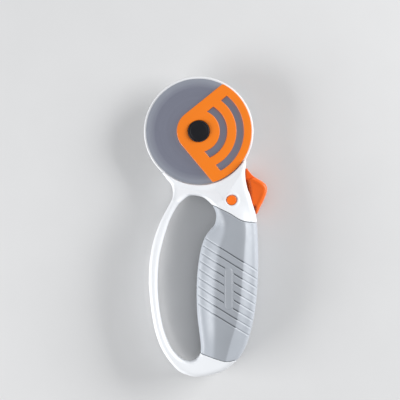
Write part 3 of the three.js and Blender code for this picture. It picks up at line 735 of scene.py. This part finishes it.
def grip_field(x, y, z):
    """The grip: upright sides in the body's outline, slanted shoulders, and a flat at the front and back."""
    left, right = side_left(y), side_right(y)
    flat_a = np.maximum(flat_left(y), left + 2)
    flat_b = np.minimum(flat_right(y), right - 2)
    high = np.minimum(grip_high(y), GRIP_FRONT)
    low = np.maximum(grip_low(y), 0)
    field = body_map(x, y)
    for level, side, up in ((high, PARTING + SIDE_HALF, 1), (low, PARTING - SIDE_HALF, -1)):
        bend_z = side + (level - side) * SHOULDER[1]
        for edge, flat, outward, crease in ((left, flat_a, -1, CREASES[0]), (right, flat_b, 1, CREASES[1])):
            bend = edge + (flat - edge) * SHOULDER[0]
            sign = -outward * up
            below = sign * lean(x, z, (edge, side), (bend, bend_z))
            above = sign * lean(x, z, (bend, bend_z), (flat, level))
            field = smooth_max(field, smooth_max(below, above, 4.0), 3.0)
            field = smooth_max(field, up * (z - level), crease)
    return field


def frame_field(x, y, z):
    """The body without its grip: a plate with rounded edges.

    Its front is lower beside the blade, and its back rises towards the tip of the left horn.
    """
    ramp = RAMP_WAY[0] * (x - RAMP_FOOT[0]) + RAMP_WAY[1] * (y - RAMP_FOOT[1])
    rise = np.maximum(np.maximum(ramp, np.hypot(x, y) - BRIDGE_RADIUS), 0)
    top = np.minimum(BODY_FRONT, BRIDGE_FRONT + RAMP_SLOPE * rise)
    back = BODY_BACK + HORN_SLOPE * smooth_max(-disc(x, y, HORN_LEFT, HORN_LENGTH), 0, 4.0)
    faces = np.maximum((z - top) * RAMP_SHARE, (back - z) * HORN_SHARE)
    return smooth_max(body_map(x, y), faces, 3.4)


def whole_body(x, y, z):
    """The frame and the grip as one, hollowed round the blade."""
    joined = smooth_min(frame_field(x, y, z), grip_field(x, y, z), 2.5)
    return smooth_max(joined, -disc(x, y, (0, 0), COLLAR), 0.9)


# ---------------- the grip's grooves

GROOVES = 9
GROOVE_TILT = -32.5
GROOVE_START = np.array([18.1, -74.7])
GROOVE_DROP = 5.38  # from one groove to the next, down the grip
GROOVE_NORMAL = polar(1.0, GROOVE_TILT + 90)
GROOVE_DEPTH, GROOVE_WIDTH = 0.8, 0.36
LIP_HEIGHT, LIP_WIDTH, LIP_OFFSET = 0.16, 0.5, 0.95  # the soft ridge below each groove
BAR_CENTRE = np.array([18.4, -96.7])  # the plain raised bar
BAR_HALF_LENGTH, BAR_HALF_WIDTH, BAR_HEIGHT = 10.6, 2.1, 0.38


def bar_distance(x, y):
    reach = np.array([0, BAR_HALF_LENGTH])
    return capsule(x, y, BAR_CENTRE + reach, BAR_CENTRE - reach, BAR_HALF_WIDTH)


def on_flat(x, y):
    """1 on the grip's level middle, falling to 0 on its sides, softly on the left, sharply on the right."""
    left, right = flat_left(y), flat_right(y)
    return ease(x, left - 2.2, left + 1) * (1 - ease(x, right - 0.5, right + 0.5))


def groove_depth(x, y):
    """How deep the slanted grooves are, less their lips; they are shallower on the grip's sides."""
    across = GROOVE_NORMAL[0] * x + GROOVE_NORMAL[1] * y
    depth = 0.0
    for k in range(GROOVES):
        offset = across - GROOVE_NORMAL @ (GROOVE_START - (0, k * GROOVE_DROP))
        lip = LIP_HEIGHT * bump(offset + LIP_OFFSET, LIP_WIDTH)
        depth = depth + GROOVE_DEPTH * bump(offset, GROOVE_WIDTH) - lip
    return depth * (0.3 + 0.7 * on_flat(x, y))


def clear_of_bar(x, y):
    """0 on the raised bar and close round it, 1 where the grooves may start."""
    return ease(bar_distance(x, y), 0.4, 1.2)


def grip_painted_shade(x, y, z):
    """Painted light and shade for the grip: its level middle is painted darker than its slanted sides, the left
    side is painted a little lighter than the right, and its grooves are painted darker still, as shade in them.
    """
    side = 1.22 - 0.07 * ease(x, flat_left(y), flat_right(y))
    groove_shade_mask = np.clip(groove_depth(x, y), 0, 1) * clear_of_bar(x, y)
    return side - 0.32 * on_flat(x, y) - 0.3 * groove_shade_mask


def grooving(x, y, z, with_bar):
    """How far the grip's surface is sunk: slanted grooves with a soft lip, around a plain raised bar."""
    sunk = groove_depth(x, y) * ease(np.abs(z - PARTING), 2.5, 5.5)
    if not with_bar:
        return sunk
    return sunk * clear_of_bar(x, y) - BAR_HEIGHT * (1 - ease(bar_distance(x, y), -0.5, 0.25))


# ---------------- shells and grips

WELL = {"radius": 2.75, "top": 6.35}  # round a screw's head, in the back shell
SKIN_WELL = {"radius": 3.0, "top": 6.7}  # and in the soft grip over it
WELL_RIM = 3.5
PAD_LEFT, PAD_BOTTOM = 21.8, -47.5  # the trigger's thick pad stays right of the one and above the other
COIL_ROOM = {"radius": 4.2, "top": 14}  # round the return spring
TAIL_ROOM = 5.0  # half the width of the hollow over the guard's tail
BUTTON_RING = {"radius": 4.15, "width": 0.75, "height": 0.35}
ARM_FRONT = 10.2  # the arm behind the guard, which carries the bolt
HUB = {"radius": 5.5, "low": 9, "high": 12.05}  # on the arm, in the guard's slot
NUT_SEAT = {"radius": 9.4, "top": 5.6}  # the recess in the arm's back
BOLT_BORE = 4.25


def to_nearest(x, y, spots):
    """Distance in the plane to the nearest of the spots."""
    return np.minimum.reduce([disc(x, y, spot, 0) for spot in spots])


def screw_wells(x, y, z, radius, top):
    return np.maximum(to_nearest(x, y, SCREW_SPOTS) - radius, z - top)


def screw_rims(x, y, z):
    """The rims round the two wells that stand too near the body's rounded edge to be whole without them."""
    return smooth_max(to_nearest(x, y, SCREW_SPOTS[:2]) - WELL_RIM, slab(z, BODY_BACK, PARTING), 0.8)


def trigger_room(x, y, z):
    """Distance to the room for the trigger: its thin web, its thick pad, and its spring's coil."""
    swept = sweep_map(x, y) - SWEEP_PLAY
    low = TRIGGER_LOW[2] - PLAY
    web = prism(swept, z, low, TRIGGER_WEB + PLAY)
    beside_guard = -disc(x, y, DRAWN, GUARD_RADIUS + PLAY)
    pad_plan = np.maximum.reduce([swept, PAD_LEFT - x, PAD_BOTTOM - y, beside_guard])
    pad = prism(pad_plan, z, low, TRIGGER_HIGH[2] + 0.4)
    coil = prism(disc(x, y, PIVOT, COIL_ROOM["radius"]), z, TRIGGER_WEB, COIL_ROOM["top"])
    return np.minimum(web, np.minimum(pad, coil))


def moving_room(x, y, z):
    """Distance to the space that the guard, the trigger and the button need inside the body."""
    guard = prism(guard_map(x, y) - PLAY, z, GUARD_LOW[2] - PLAY, GUARD_HIGH[2] + PLAY)
    tail = prism(capsule(x, y, BUTTON, LINK + DRAWN, TAIL_ROOM), z, PARTING, MECHANISM_TOP)
    inside = np.minimum(np.minimum(guard, tail), trigger_room(x, y, z))
    return np.minimum(inside, disc(x, y, BUTTON, BUTTON_RADIUS + 0.2))


def under_grip(x, y, z):
    """The part of the body that the soft skin takes, negative inside."""
    core = grip_field(x, y, z) + SKIN + 2 * SEAM
    return np.maximum(zone_map(x, y), -core)


def front_shell_field(x, y, z):
    to_ring = disc(x, y, BUTTON, BUTTON_RING["radius"])
    ring = BUTTON_RING["height"] * bump(to_ring, BUTTON_RING["width"]) * (z > PARTING)
    body = smooth_max(whole_body(x, y, z) - ring, -under_grip(x, y, z), 0.5)
    body = smooth_max(body, PARTING + SEAM - z, 0.5)
    return smooth_max(body, -moving_room(x, y, z), 0.4)


def back_shell_field(x, y, z):
    arm = smooth_max(arm_map(x, y), slab(z, BODY_BACK, ARM_FRONT), 1.6)
    body = smooth_min(smooth_min(whole_body(x, y, z), arm, 1.2), screw_rims(x, y, z), 0.8)
    body = smooth_max(body, -under_grip(x, y, z), 0.5)
    body = smooth_max(body, z - (PARTING - SEAM), 0.5)
    body = smooth_max(body, -moving_room(x, y, z), 0.4)
    hub = prism(disc(x, y, (0, 0), HUB["radius"]), z, HUB["low"], HUB["high"])
    seat = np.maximum(disc(x, y, (0, 0), NUT_SEAT["radius"]), z - NUT_SEAT["top"])
    seat = np.minimum(seat, disc(x, y, (0, 0), BOLT_BORE))
    body = smooth_max(np.minimum(body, hub), -seat, 0.5)
    return smooth_max(body, -screw_wells(x, y, z, **WELL), 0.4)


def grip_skin(x, y, z, with_bar):
    """The soft grip as a thick skin round the body's core."""
    outer = whole_body(x, y, z) + grooving(x, y, z, with_bar)
    inner = grip_field(x, y, z) + SKIN
    skin = smooth_max(outer, -inner, 0.4)
    return smooth_max(skin, zone_map(x, y) + 2 * SEAM, 0.7)


def beside_trigger(x, y, z):
    """Distance to the room that the soft grips leave for the turning trigger."""
    return prism(sweep_map(x, y) - SWEEP_PLAY, z, TRIGGER_LOW[2] - PLAY, MECHANISM_TOP)


def front_grip_field(x, y, z):
    skin = smooth_max(grip_skin(x, y, z, True), PARTING + SEAM - z, 0.5)
    return np.maximum(skin, -beside_trigger(x, y, z))


def back_grip_field(x, y, z):
    skin = smooth_max(grip_skin(x, y, z, False), z - (PARTING - SEAM), 0.5)
    skin = np.maximum(skin, -beside_trigger(x, y, z))
    return smooth_max(skin, -screw_wells(x, y, z, **SKIN_WELL), 0.5)


SHELL_STEPS = ((0.5, 0.5, 0.4))
GRIP_STEPS = ((0.6, 0.24, 0.36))
MARGIN = 1.5  # room in the grid outside a piece


def build_shells():
    for name, node, field in (
        ("front_body_shell", "front_shell", front_shell_field),
        ("back_body_shell", "back_shell", back_shell_field),
    ):
        low, high = box_mm(node)
        show(net_piece(name, field, low - MARGIN, high + MARGIN, SHELL_STEPS), node, WHITE)


def build_grips():
    """The grips, on a grid turned along the grooves so that these come out clean."""
    turn = math.radians(GROOVE_TILT)
    corners = turned_rows(np.array([(x, y) for x in (-2, 38) for y in (-144, -42)]), -turn)
    for name, field, node, low, high in (
        ("front_soft_grip", front_grip_field, "front_grip", PARTING - 1, GRIP_FRONT + MARGIN),
        ("back_soft_grip", back_grip_field, "back_grip", -MARGIN, PARTING + 1),
    ):
        low, high = (*corners.min(0), low), (*corners.max(0), high)
        # The grips carry painted light and shade: lighter sides, and a darker flat middle and grooves.
        show(net_piece(name, field, low, high, GRIP_STEPS, turn, grip_painted_shade), node, GREY)


# ---------------- blade, guard, cover, bolt

BLADE_BORE = 4.2
GRIND_WIDTH = 2.9  # of the ground bevel at the rim
TURNED_LINE = {"radius": 27.5, "half_width": 0.2, "depth": 0.03}  # round the blade, inside the bevel
EDGE_HALF = 0.015  # half the thickness left at the cutting edge
HUB_SLOT, STEM_SLOT, LINK_SLOT = 5.75, 2.1, 1.6  # half widths of the guard's slots
LINK_SLIP = 0.3  # how far the link pin slides across, either way
LOCK_POCKET = 2.75  # radius of the pockets for the button's collar, at either end of its slot


def build_blade():
    """A thin disc whose rim is ground to an edge from both faces, with a fine turned line inside it."""
    middle = (BLADE_LOW[2] + BLADE_HIGH[2]) / 2
    half = (BLADE_HIGH[2] - BLADE_LOW[2]) / 2
    line, width = TURNED_LINE["radius"], TURNED_LINE["half_width"]
    upper = [
        (BLADE_BORE, half), (line - width, half), (line, half - TURNED_LINE["depth"]), (line + width, half),
        (BLADE_RADIUS - GRIND_WIDTH, half), (BLADE_RADIUS, EDGE_HALF),
    ]
    profile = [(r, middle + z) for r, z in upper] + [(r, middle - z) for r, z in reversed(upper)]
    profile.append(profile[0])
    show(turned_piece("steel_blade", (0, 0), profile, 256), "blade", STEEL)


def guard_holes(x, y):
    """The slots for the hub, for the button with its two pockets, and for the link pin."""
    slip = LINK_SLIP * np.array([-GUARD_WAY[1], GUARD_WAY[0]])
    return np.minimum.reduce([
        capsule(x, y, (0, 0), -DRAWN, HUB_SLOT),
        capsule(x, y, BUTTON, BUTTON - DRAWN, STEM_SLOT),
        disc(x, y, BUTTON, LOCK_POCKET),
        disc(x, y, BUTTON - DRAWN, LOCK_POCKET),
        capsule(x, y, LINK - slip, LINK + slip, LINK_SLOT),
    ])


def guard_field(x, y, z):
    neck = capsule(x, y, NECK_ROOT, BUTTON, GUARD_NECK)
    tail = capsule(x, y, BUTTON, LINK, GUARD_TAIL)
    plan = smooth_min(smooth_min(disc(x, y, (0, 0), GUARD_RADIUS), neck, NECK_BLEND), tail, 1.0)
    body = smooth_max(plan, slab(z, GUARD_LOW[2], GUARD_HIGH[2]), 0.9)
    return smooth_max(body, -guard_holes(x, y), 0.4)


def build_guard():
    guard = net_piece("white_blade_guard", guard_field, GUARD_LOW - 1, GUARD_HIGH + 1, (0.45, 0.45, 0.28))
    show(guard, "blade_guard", GUARD_WHITE)


COVER_FACING = -5.7  # the way that the middle of the cover plate points, in degrees
COVER_SPREAD = 44.5  # half the angle between its straight edges
COVER_HUB = 13.5  # radius of its round corner about the axis
COVER_SLOTS = ((13.0, 17.6), (23.3, 27.9))  # inner and outer radius of its arc slots
COVER_HOLE = 6.7
COVER_BEVEL = 0.45
COVER_SLOT_EDGES = (6.2, 5.3)  # how far the slots' upper and lower ends lie off the axis


def tangent_angle(offset, radius, side):
    """Where a line parallel to a straight edge, at offset from the axis, meets a circle about the axis."""
    edge = COVER_FACING + side * COVER_SPREAD
    return edge + side * math.degrees(math.asin(offset / radius))


def cover_outline():
    rim = COVER_HIGH[0]
    upper, lower = (tangent_angle(COVER_HUB, rim, side) for side in (1, -1))
    hub = arc((0, 0), COVER_HUB, COVER_FACING + COVER_SPREAD + 90, COVER_FACING - COVER_SPREAD + 270, 40)
    ring = np.vstack([arc((0, 0), rim, lower, upper, 96), hub])
    return rounded_ring(ring, 1.3)


def rounded_ring(ring, radius, least_bend=25):
    """A closed outline with each corner that bends by more than least_bend degrees rounded."""
    out = []
    for before, corner, after in zip(np.roll(ring, 1, axis=0), ring, np.roll(ring, -1, axis=0)):
        a, b = corner - before, after - corner
        bend = math.degrees(math.acos(np.clip(a @ b / (np.linalg.norm(a) * np.linalg.norm(b)), -1, 1)))
        out += [corner] if bend < least_bend else bend_round(before, corner, after, radius, 0.9, 6)
    return np.array(out)


def cover_slot(inner, outer):
    upper, lower = COVER_SLOT_EDGES
    return np.vstack([
        arc((0, 0), outer, tangent_angle(lower, outer, -1), tangent_angle(upper, outer, 1), 40),
        arc((0, 0), inner, tangent_angle(upper, inner, 1), tangent_angle(lower, inner, -1), 30),
    ])


def build_cover():
    axis_hole = arc((0, 0), COVER_HOLE, 0, 355, 72)
    rings = [cover_outline(), axis_hole, *(cover_slot(*slot) for slot in COVER_SLOTS)]
    plate = plate_piece("orange_cover_plate", rings, COVER_LOW[2], COVER_HIGH[2], COVER_BEVEL)
    show(plate, "blade_cover_plate", ORANGE)


BOLT = {"seat": COVER_HIGH[2] - 1.2, "shank": 3.9, "shank_low": 5.2, "thread": 2.7, "low": 1.8}


def build_bolt():
    """A flat black head with a shallow dished top, on its shank and its thread."""
    shank, thread = BOLT["shank"], BOLT["thread"]
    profile = rounded([
        (0, BOLT_TOP - 0.22), (BOLT_HEAD - 1.5, BOLT_TOP - 0.2), (BOLT_HEAD - 1.1, BOLT_TOP),
        (BOLT_HEAD, BOLT_TOP), (BOLT_HEAD, BOLT["seat"]), (shank, BOLT["seat"]), (shank, BOLT["shank_low"]),
        (thread, BOLT["shank_low"]), (thread, BOLT["low"]), (0, BOLT["low"]),
    ], 0.4)
    show(turned_piece("black_blade_bolt", (0, 0), profile, 128), "blade_bolt", BLACK)


NUT_FLUTES = 12
NUT_TOP, NUT_BOSS = 4.4, 4.9  # height of the nut, and radius of the flat round the bolt
NUT_RECESS = {"radius": 5.6, "depth": 0.35}


def nut_flutes(degrees, z, radius):
    """How far the nut's rim is cut in, in rounded flutes that fade out towards both faces."""
    if radius < 8:
        return no_flutes(degrees, z, radius)
    fade = np.clip(1 - ((z - 1.7) / 2.2) ** 2, 0, 1) ** 0.5
    return 0.75 * fade * (0.5 + 0.5 * np.cos(NUT_FLUTES * np.radians(degrees))) ** 3


def build_nut():
    """A fluted thumb nut with a shallow recess in its back."""
    rim, recess, depth = NUT_HIGH[0], NUT_RECESS["radius"], NUT_RECESS["depth"]
    side = [(rim, z) for z in np.linspace(3.9, 0.9, 9)]
    profile = rounded([
        (0, NUT_TOP), (NUT_BOSS, NUT_TOP), (rim - 0.5, NUT_TOP), *side, (rim - 0.8, 0), (recess, 0),
        (recess - 0.4, depth), (0, depth),
    ], 0.35)
    show(turned_piece("black_thumb_nut", (0, 0), profile, 192, nut_flutes), "blade_nut_knob", BLACK)


# ---------------- trigger and button

SPRING_HIGH = box_mm("trigger_return_spring")[1]
SPRING_LEG = (PIVOT + polar(2.7, 130), SPRING_HIGH[:2] - 0.25)  # the ends of its upper leg
COIL_POCKET, LEG_POCKET, LEG_HEIGHT = 3.6, 0.7, 1.6  # round the coil and the leg, and over the leg
WEB_BACK = 5.6
PAD_INNER, PAD_FOOT = 30.8, -47  # the pad goes into the body only right of the one and above the other
PAD_GAP = 0.8  # elsewhere it keeps this far outside the body's outline
GUARD_PASS = 0.6  # how far the pad stays clear of the drawn guard
TRIGGER_DISH = 0.5
TRIGGER_HOLES = ((PIVOT, 1.7), (LINK, 1.45))


def spring_pocket(x, y, z):
    """The room in the pad for the return spring's coil, and for the leg that pushes the pad back."""
    pocket = prism(disc(x, y, PIVOT, COIL_POCKET), z, TRIGGER_WEB, SPRING_HIGH[2] + 0.4)
    for turn in np.linspace(0, -TRIGGER_TURN, 4):
        leg = capsule(x, y, *(turned_about(end, PIVOT, turn) for end in SPRING_LEG), LEG_POCKET)
        pocket = np.minimum(pocket, prism(leg, z, TRIGGER_WEB, TRIGGER_WEB + LEG_HEIGHT))
    return pocket


def trigger_pad(x, y, z):
    """The thick pad under the thumb, with a dished front, cut back where the guard and the spring pass it."""
    reach = np.minimum(np.maximum(PAD_INNER - x, PAD_FOOT - y), PAD_GAP - body_map(x, y))
    plan = smooth_max(trigger_map(x, y), reach, 0.8)
    dished = TRIGGER_HIGH[2] - TRIGGER_DISH * ease(-trigger_map(x, y), 0.6, 3.5)
    pad = smooth_max(plan, slab(z, TRIGGER_LOW[2], dished), 3.0)
    passing = turned_about(DRAWN, PIVOT, -TRIGGER_TURN)
    path = np.maximum(disc(x, y, passing, GUARD_RADIUS + GUARD_PASS), TRIGGER_WEB - z)
    return smooth_max(smooth_max(pad, -path, 0.5), -spring_pocket(x, y, z), 0.3)


def trigger_field(x, y, z):
    web = smooth_max(trigger_web(x, y), slab(z, WEB_BACK, TRIGGER_WEB), 0.6)
    body = smooth_min(web, trigger_pad(x, y, z), 0.8)
    for spot, radius in TRIGGER_HOLES:
        body = np.maximum(body, -disc(x, y, spot, radius))
    return body


def build_trigger():
    trigger = net_piece("thumb_trigger", trigger_field, TRIGGER_LOW - 1, TRIGGER_HIGH + 1, (0.32,) * 3)
    show(trigger, "trigger", RED_ORANGE)


STEM, STEM_COLLAR, STEM_NOTCH = 1.8, 2.5, 1.35  # radii of the button's stem, its collar and its notches
SHOULDER_Z, COLLAR_Z = 14.6, 12.3  # the heights under the button's disc and under its collar
NOTCHES = ((10.4, 9), (8.2, 6.8))  # the detent notches, each from its top to its bottom
NOTCH_SLOPE = 0.4
CAP_RADIUS, CAP_BORE, CAP_FLOOR = 2.9, 2.0, 3.6


def build_button():
    """The cross-bolt's front end, with a shallow dish for the finger, a collar and two detent notches."""
    top, low = BUTTON_HIGH[2], BUTTON_LOW[2]
    stem = [(STEM_COLLAR, SHOULDER_Z), (STEM_COLLAR, COLLAR_Z), (STEM, COLLAR_Z)]
    for upper, lower in NOTCHES:
        floor = [(STEM_NOTCH, upper - NOTCH_SLOPE), (STEM_NOTCH, lower + NOTCH_SLOPE)]
        stem += [(STEM, upper), *floor, (STEM, lower)]
    profile = rounded([
        (0, top - 0.35), (1.9, top - 0.15), (BUTTON_RADIUS - 0.3, top), (BUTTON_RADIUS, top - 0.4),
        (BUTTON_RADIUS, SHOULDER_Z), *stem, (STEM, low), (0, low),
    ], 0.25)
    show(turned_piece("lock_button_front", BUTTON, profile, 72), "lock_button", BUTTON_ORANGE)


def build_button_cap():
    """The cross-bolt's rear cap, pushed over the stem's end."""
    bottom, upper = CAP_LOW[2], CAP_HIGH[2]
    profile = rounded([
        (0, bottom + 0.15), (2.2, bottom + 0.05), (CAP_RADIUS, bottom), (CAP_RADIUS, upper),
        (CAP_BORE, upper), (CAP_BORE, CAP_FLOOR), (0, CAP_FLOOR),
    ], 0.25)
    show(turned_piece("lock_button_back", BUTTON, profile, 72), "lock_button_rear_cap", BUTTON_ORANGE)


# ---------------- screws

SCREW_HEAD = (SCREW_HIGH - SCREW_LOW)[0] / 2
HEAD_HEIGHT = 1.5
THREAD = {"radius": 0.95, "ridge": 0.3, "pitch": 0.9}
CROSS = {"half_length": 1.35, "half_width": 0.32, "depth": 0.95}
SCREW_STEP = 0.14
SCREW_TURN = 37  # degrees between the ways that one screw and the next are turned


def screw_field(x, y, z):
    """A domed screw, its head down, with a cross recess and a threaded shank."""
    low, high = SCREW_LOW[2], SCREW_HIGH[2]
    radius = np.hypot(x, y)
    dome = low + 0.05 * radius**2
    head = smooth_max(radius - SCREW_HEAD, slab(z, dome, low + HEAD_HEIGHT), 0.5)
    lead = z / THREAD["pitch"] + np.arctan2(y, x) / (2 * math.pi)
    ridge = np.abs((lead % 1) - 0.5) * 2
    shank = prism(radius - THREAD["radius"] - THREAD["ridge"] * ridge, z, low + 1, high - 0.2)
    longer, shorter = np.maximum(np.abs(x), np.abs(y)), np.minimum(np.abs(x), np.abs(y))
    cross = np.maximum(longer - CROSS["half_length"], shorter - CROSS["half_width"])
    recess = np.maximum(cross, z - (low + CROSS["depth"]) + 0.5 * radius)
    return smooth_max(np.minimum(head, shank), -recess, 0.12)


def build_screws():
    """One screw's mesh, set at each spot, and turned a different way each time."""
    reach = SCREW_HEAD + 0.6
    low, high = (-reach, -reach, SCREW_LOW[2] - 0.6), (reach, reach, SCREW_HIGH[2] + 0.6)
    points, quads = surface_net(screw_field, low, high, (SCREW_STEP,) * 3)
    points, _ = settled(screw_field, points, 0.08)
    for number, (node, spot) in enumerate(zip(SCREWS, SCREW_SPOTS), 1):
        places = turned_rows(points, math.radians(SCREW_TURN * number)) + (*spot, 0)
        mesh = bpy.data.meshes.new(f"cross_screw_{number}")
        mesh.from_pydata((places * MM).tolist(), [], quads.tolist())
        mesh.shade_smooth()
        mesh.set_sharp_from_angle(angle=math.radians(40))
        show(link(f"cross_screw_{number}", mesh), node, ZINC)


# ---------------- parts whose CAD shape is kept

KEPT_NODES = (
    "blade_nut_insert", "spring_washer", "trigger_pivot_pin", "guard_link_pin", "trigger_return_spring",
    "lock_detent_wire",
)


def dress_kept_nodes():
    for node in KEPT_NODES:
        mesh = frame["nodes"][node].data
        mesh.materials.clear()
        mesh.materials.append(ZINC)


# ---------------- stage, lights and camera

FLOOR_SIZE, FLOOR_DROP = 6, 0.0004  # in metres, as are the other lengths here
LAMPS_AIM = Vector((0.005, -0.06, 0.01))
VIEW_CENTRE = (0.0008, -0.04246)
VIEW_WIDTH = 0.2472  # of the photographed frame, at the height of the blade's front
LENS, SENSOR = 145.6, 36.0  # in millimetres


def build_stage():
    """A pale floor that is clear from below, so that views from underneath see the cutter."""
    bpy.ops.mesh.primitive_plane_add(size=FLOOR_SIZE, location=(0, 0, -FLOOR_DROP))
    floor = bpy.context.object
    floor.name = "floor"
    m = Nodes("pale_floor")
    m.surface({
        "Base Color": m.mixed(m.noise(30, 3), (0.68, 0.68, 0.68), (0.71, 0.71, 0.71)),
        "Roughness": 0.9,
    })
    clear = m.add("ShaderNodeBsdfTransparent", {})[0]
    from_below = m.add("ShaderNodeNewGeometry", {})["Backfacing"]
    choice = m.add("ShaderNodeMixShader", {0: from_below, 1: m.shader.outputs[0], 2: clear})[0]
    m.feed(m.tree.nodes["Material Output"].inputs["Surface"], choice)
    floor.data.materials.append(m.material)


def softbox(name, azimuth, elevation, size, power, distance=1.05):
    """A soft lamp that faces the cutter, at an azimuth from +X and an elevation, both in degrees."""
    lamp = bpy.data.lights.new(name, "AREA")
    lamp.shape = "RECTANGLE"
    lamp.size, lamp.size_y = size
    lamp.energy = power
    obj = link(name, lamp)
    rise = math.radians(elevation)
    way = Vector((*(polar(1, azimuth) * math.cos(rise)), math.sin(rise)))
    obj.location = LAMPS_AIM + way * distance
    obj.rotation_mode = "QUATERNION"
    obj.rotation_quaternion = (-way).to_track_quat("-Z", "Y")


def build_lights():
    world = bpy.data.worlds.new("studio")
    bpy.context.scene.world = world
    world.use_nodes = True
    background = world.node_tree.nodes["Background"]
    background.inputs["Color"].default_value = (0.95, 0.97, 1, 1)
    background.inputs["Strength"].default_value = 0.42
    softbox("key_right", azimuth=20, elevation=21, size=(0.8, 0.4), power=12.5)
    softbox("fill_left", azimuth=200, elevation=19, size=(0.8, 0.4), power=10.5)


def build_camera():
    """Straight above the cutter, as wide as the photographed frame."""
    camera = bpy.data.cameras.new("camera")
    camera.lens, camera.sensor_width = LENS, SENSOR
    camera.clip_start = 0.05
    obj = link("camera", camera)
    obj.location = (*VIEW_CENTRE, BLADE_HIGH[2] * MM + VIEW_WIDTH * LENS / SENSOR)
    bpy.context.scene.camera = obj
    bpy.context.scene.view_settings.view_transform = "Standard"


build_shells()
build_grips()
build_blade()
build_guard()
build_cover()
build_bolt()
build_nut()
build_trigger()
build_button()
build_button_cap()
build_screws()
dress_kept_nodes()
build_stage()
build_lights()
build_camera()
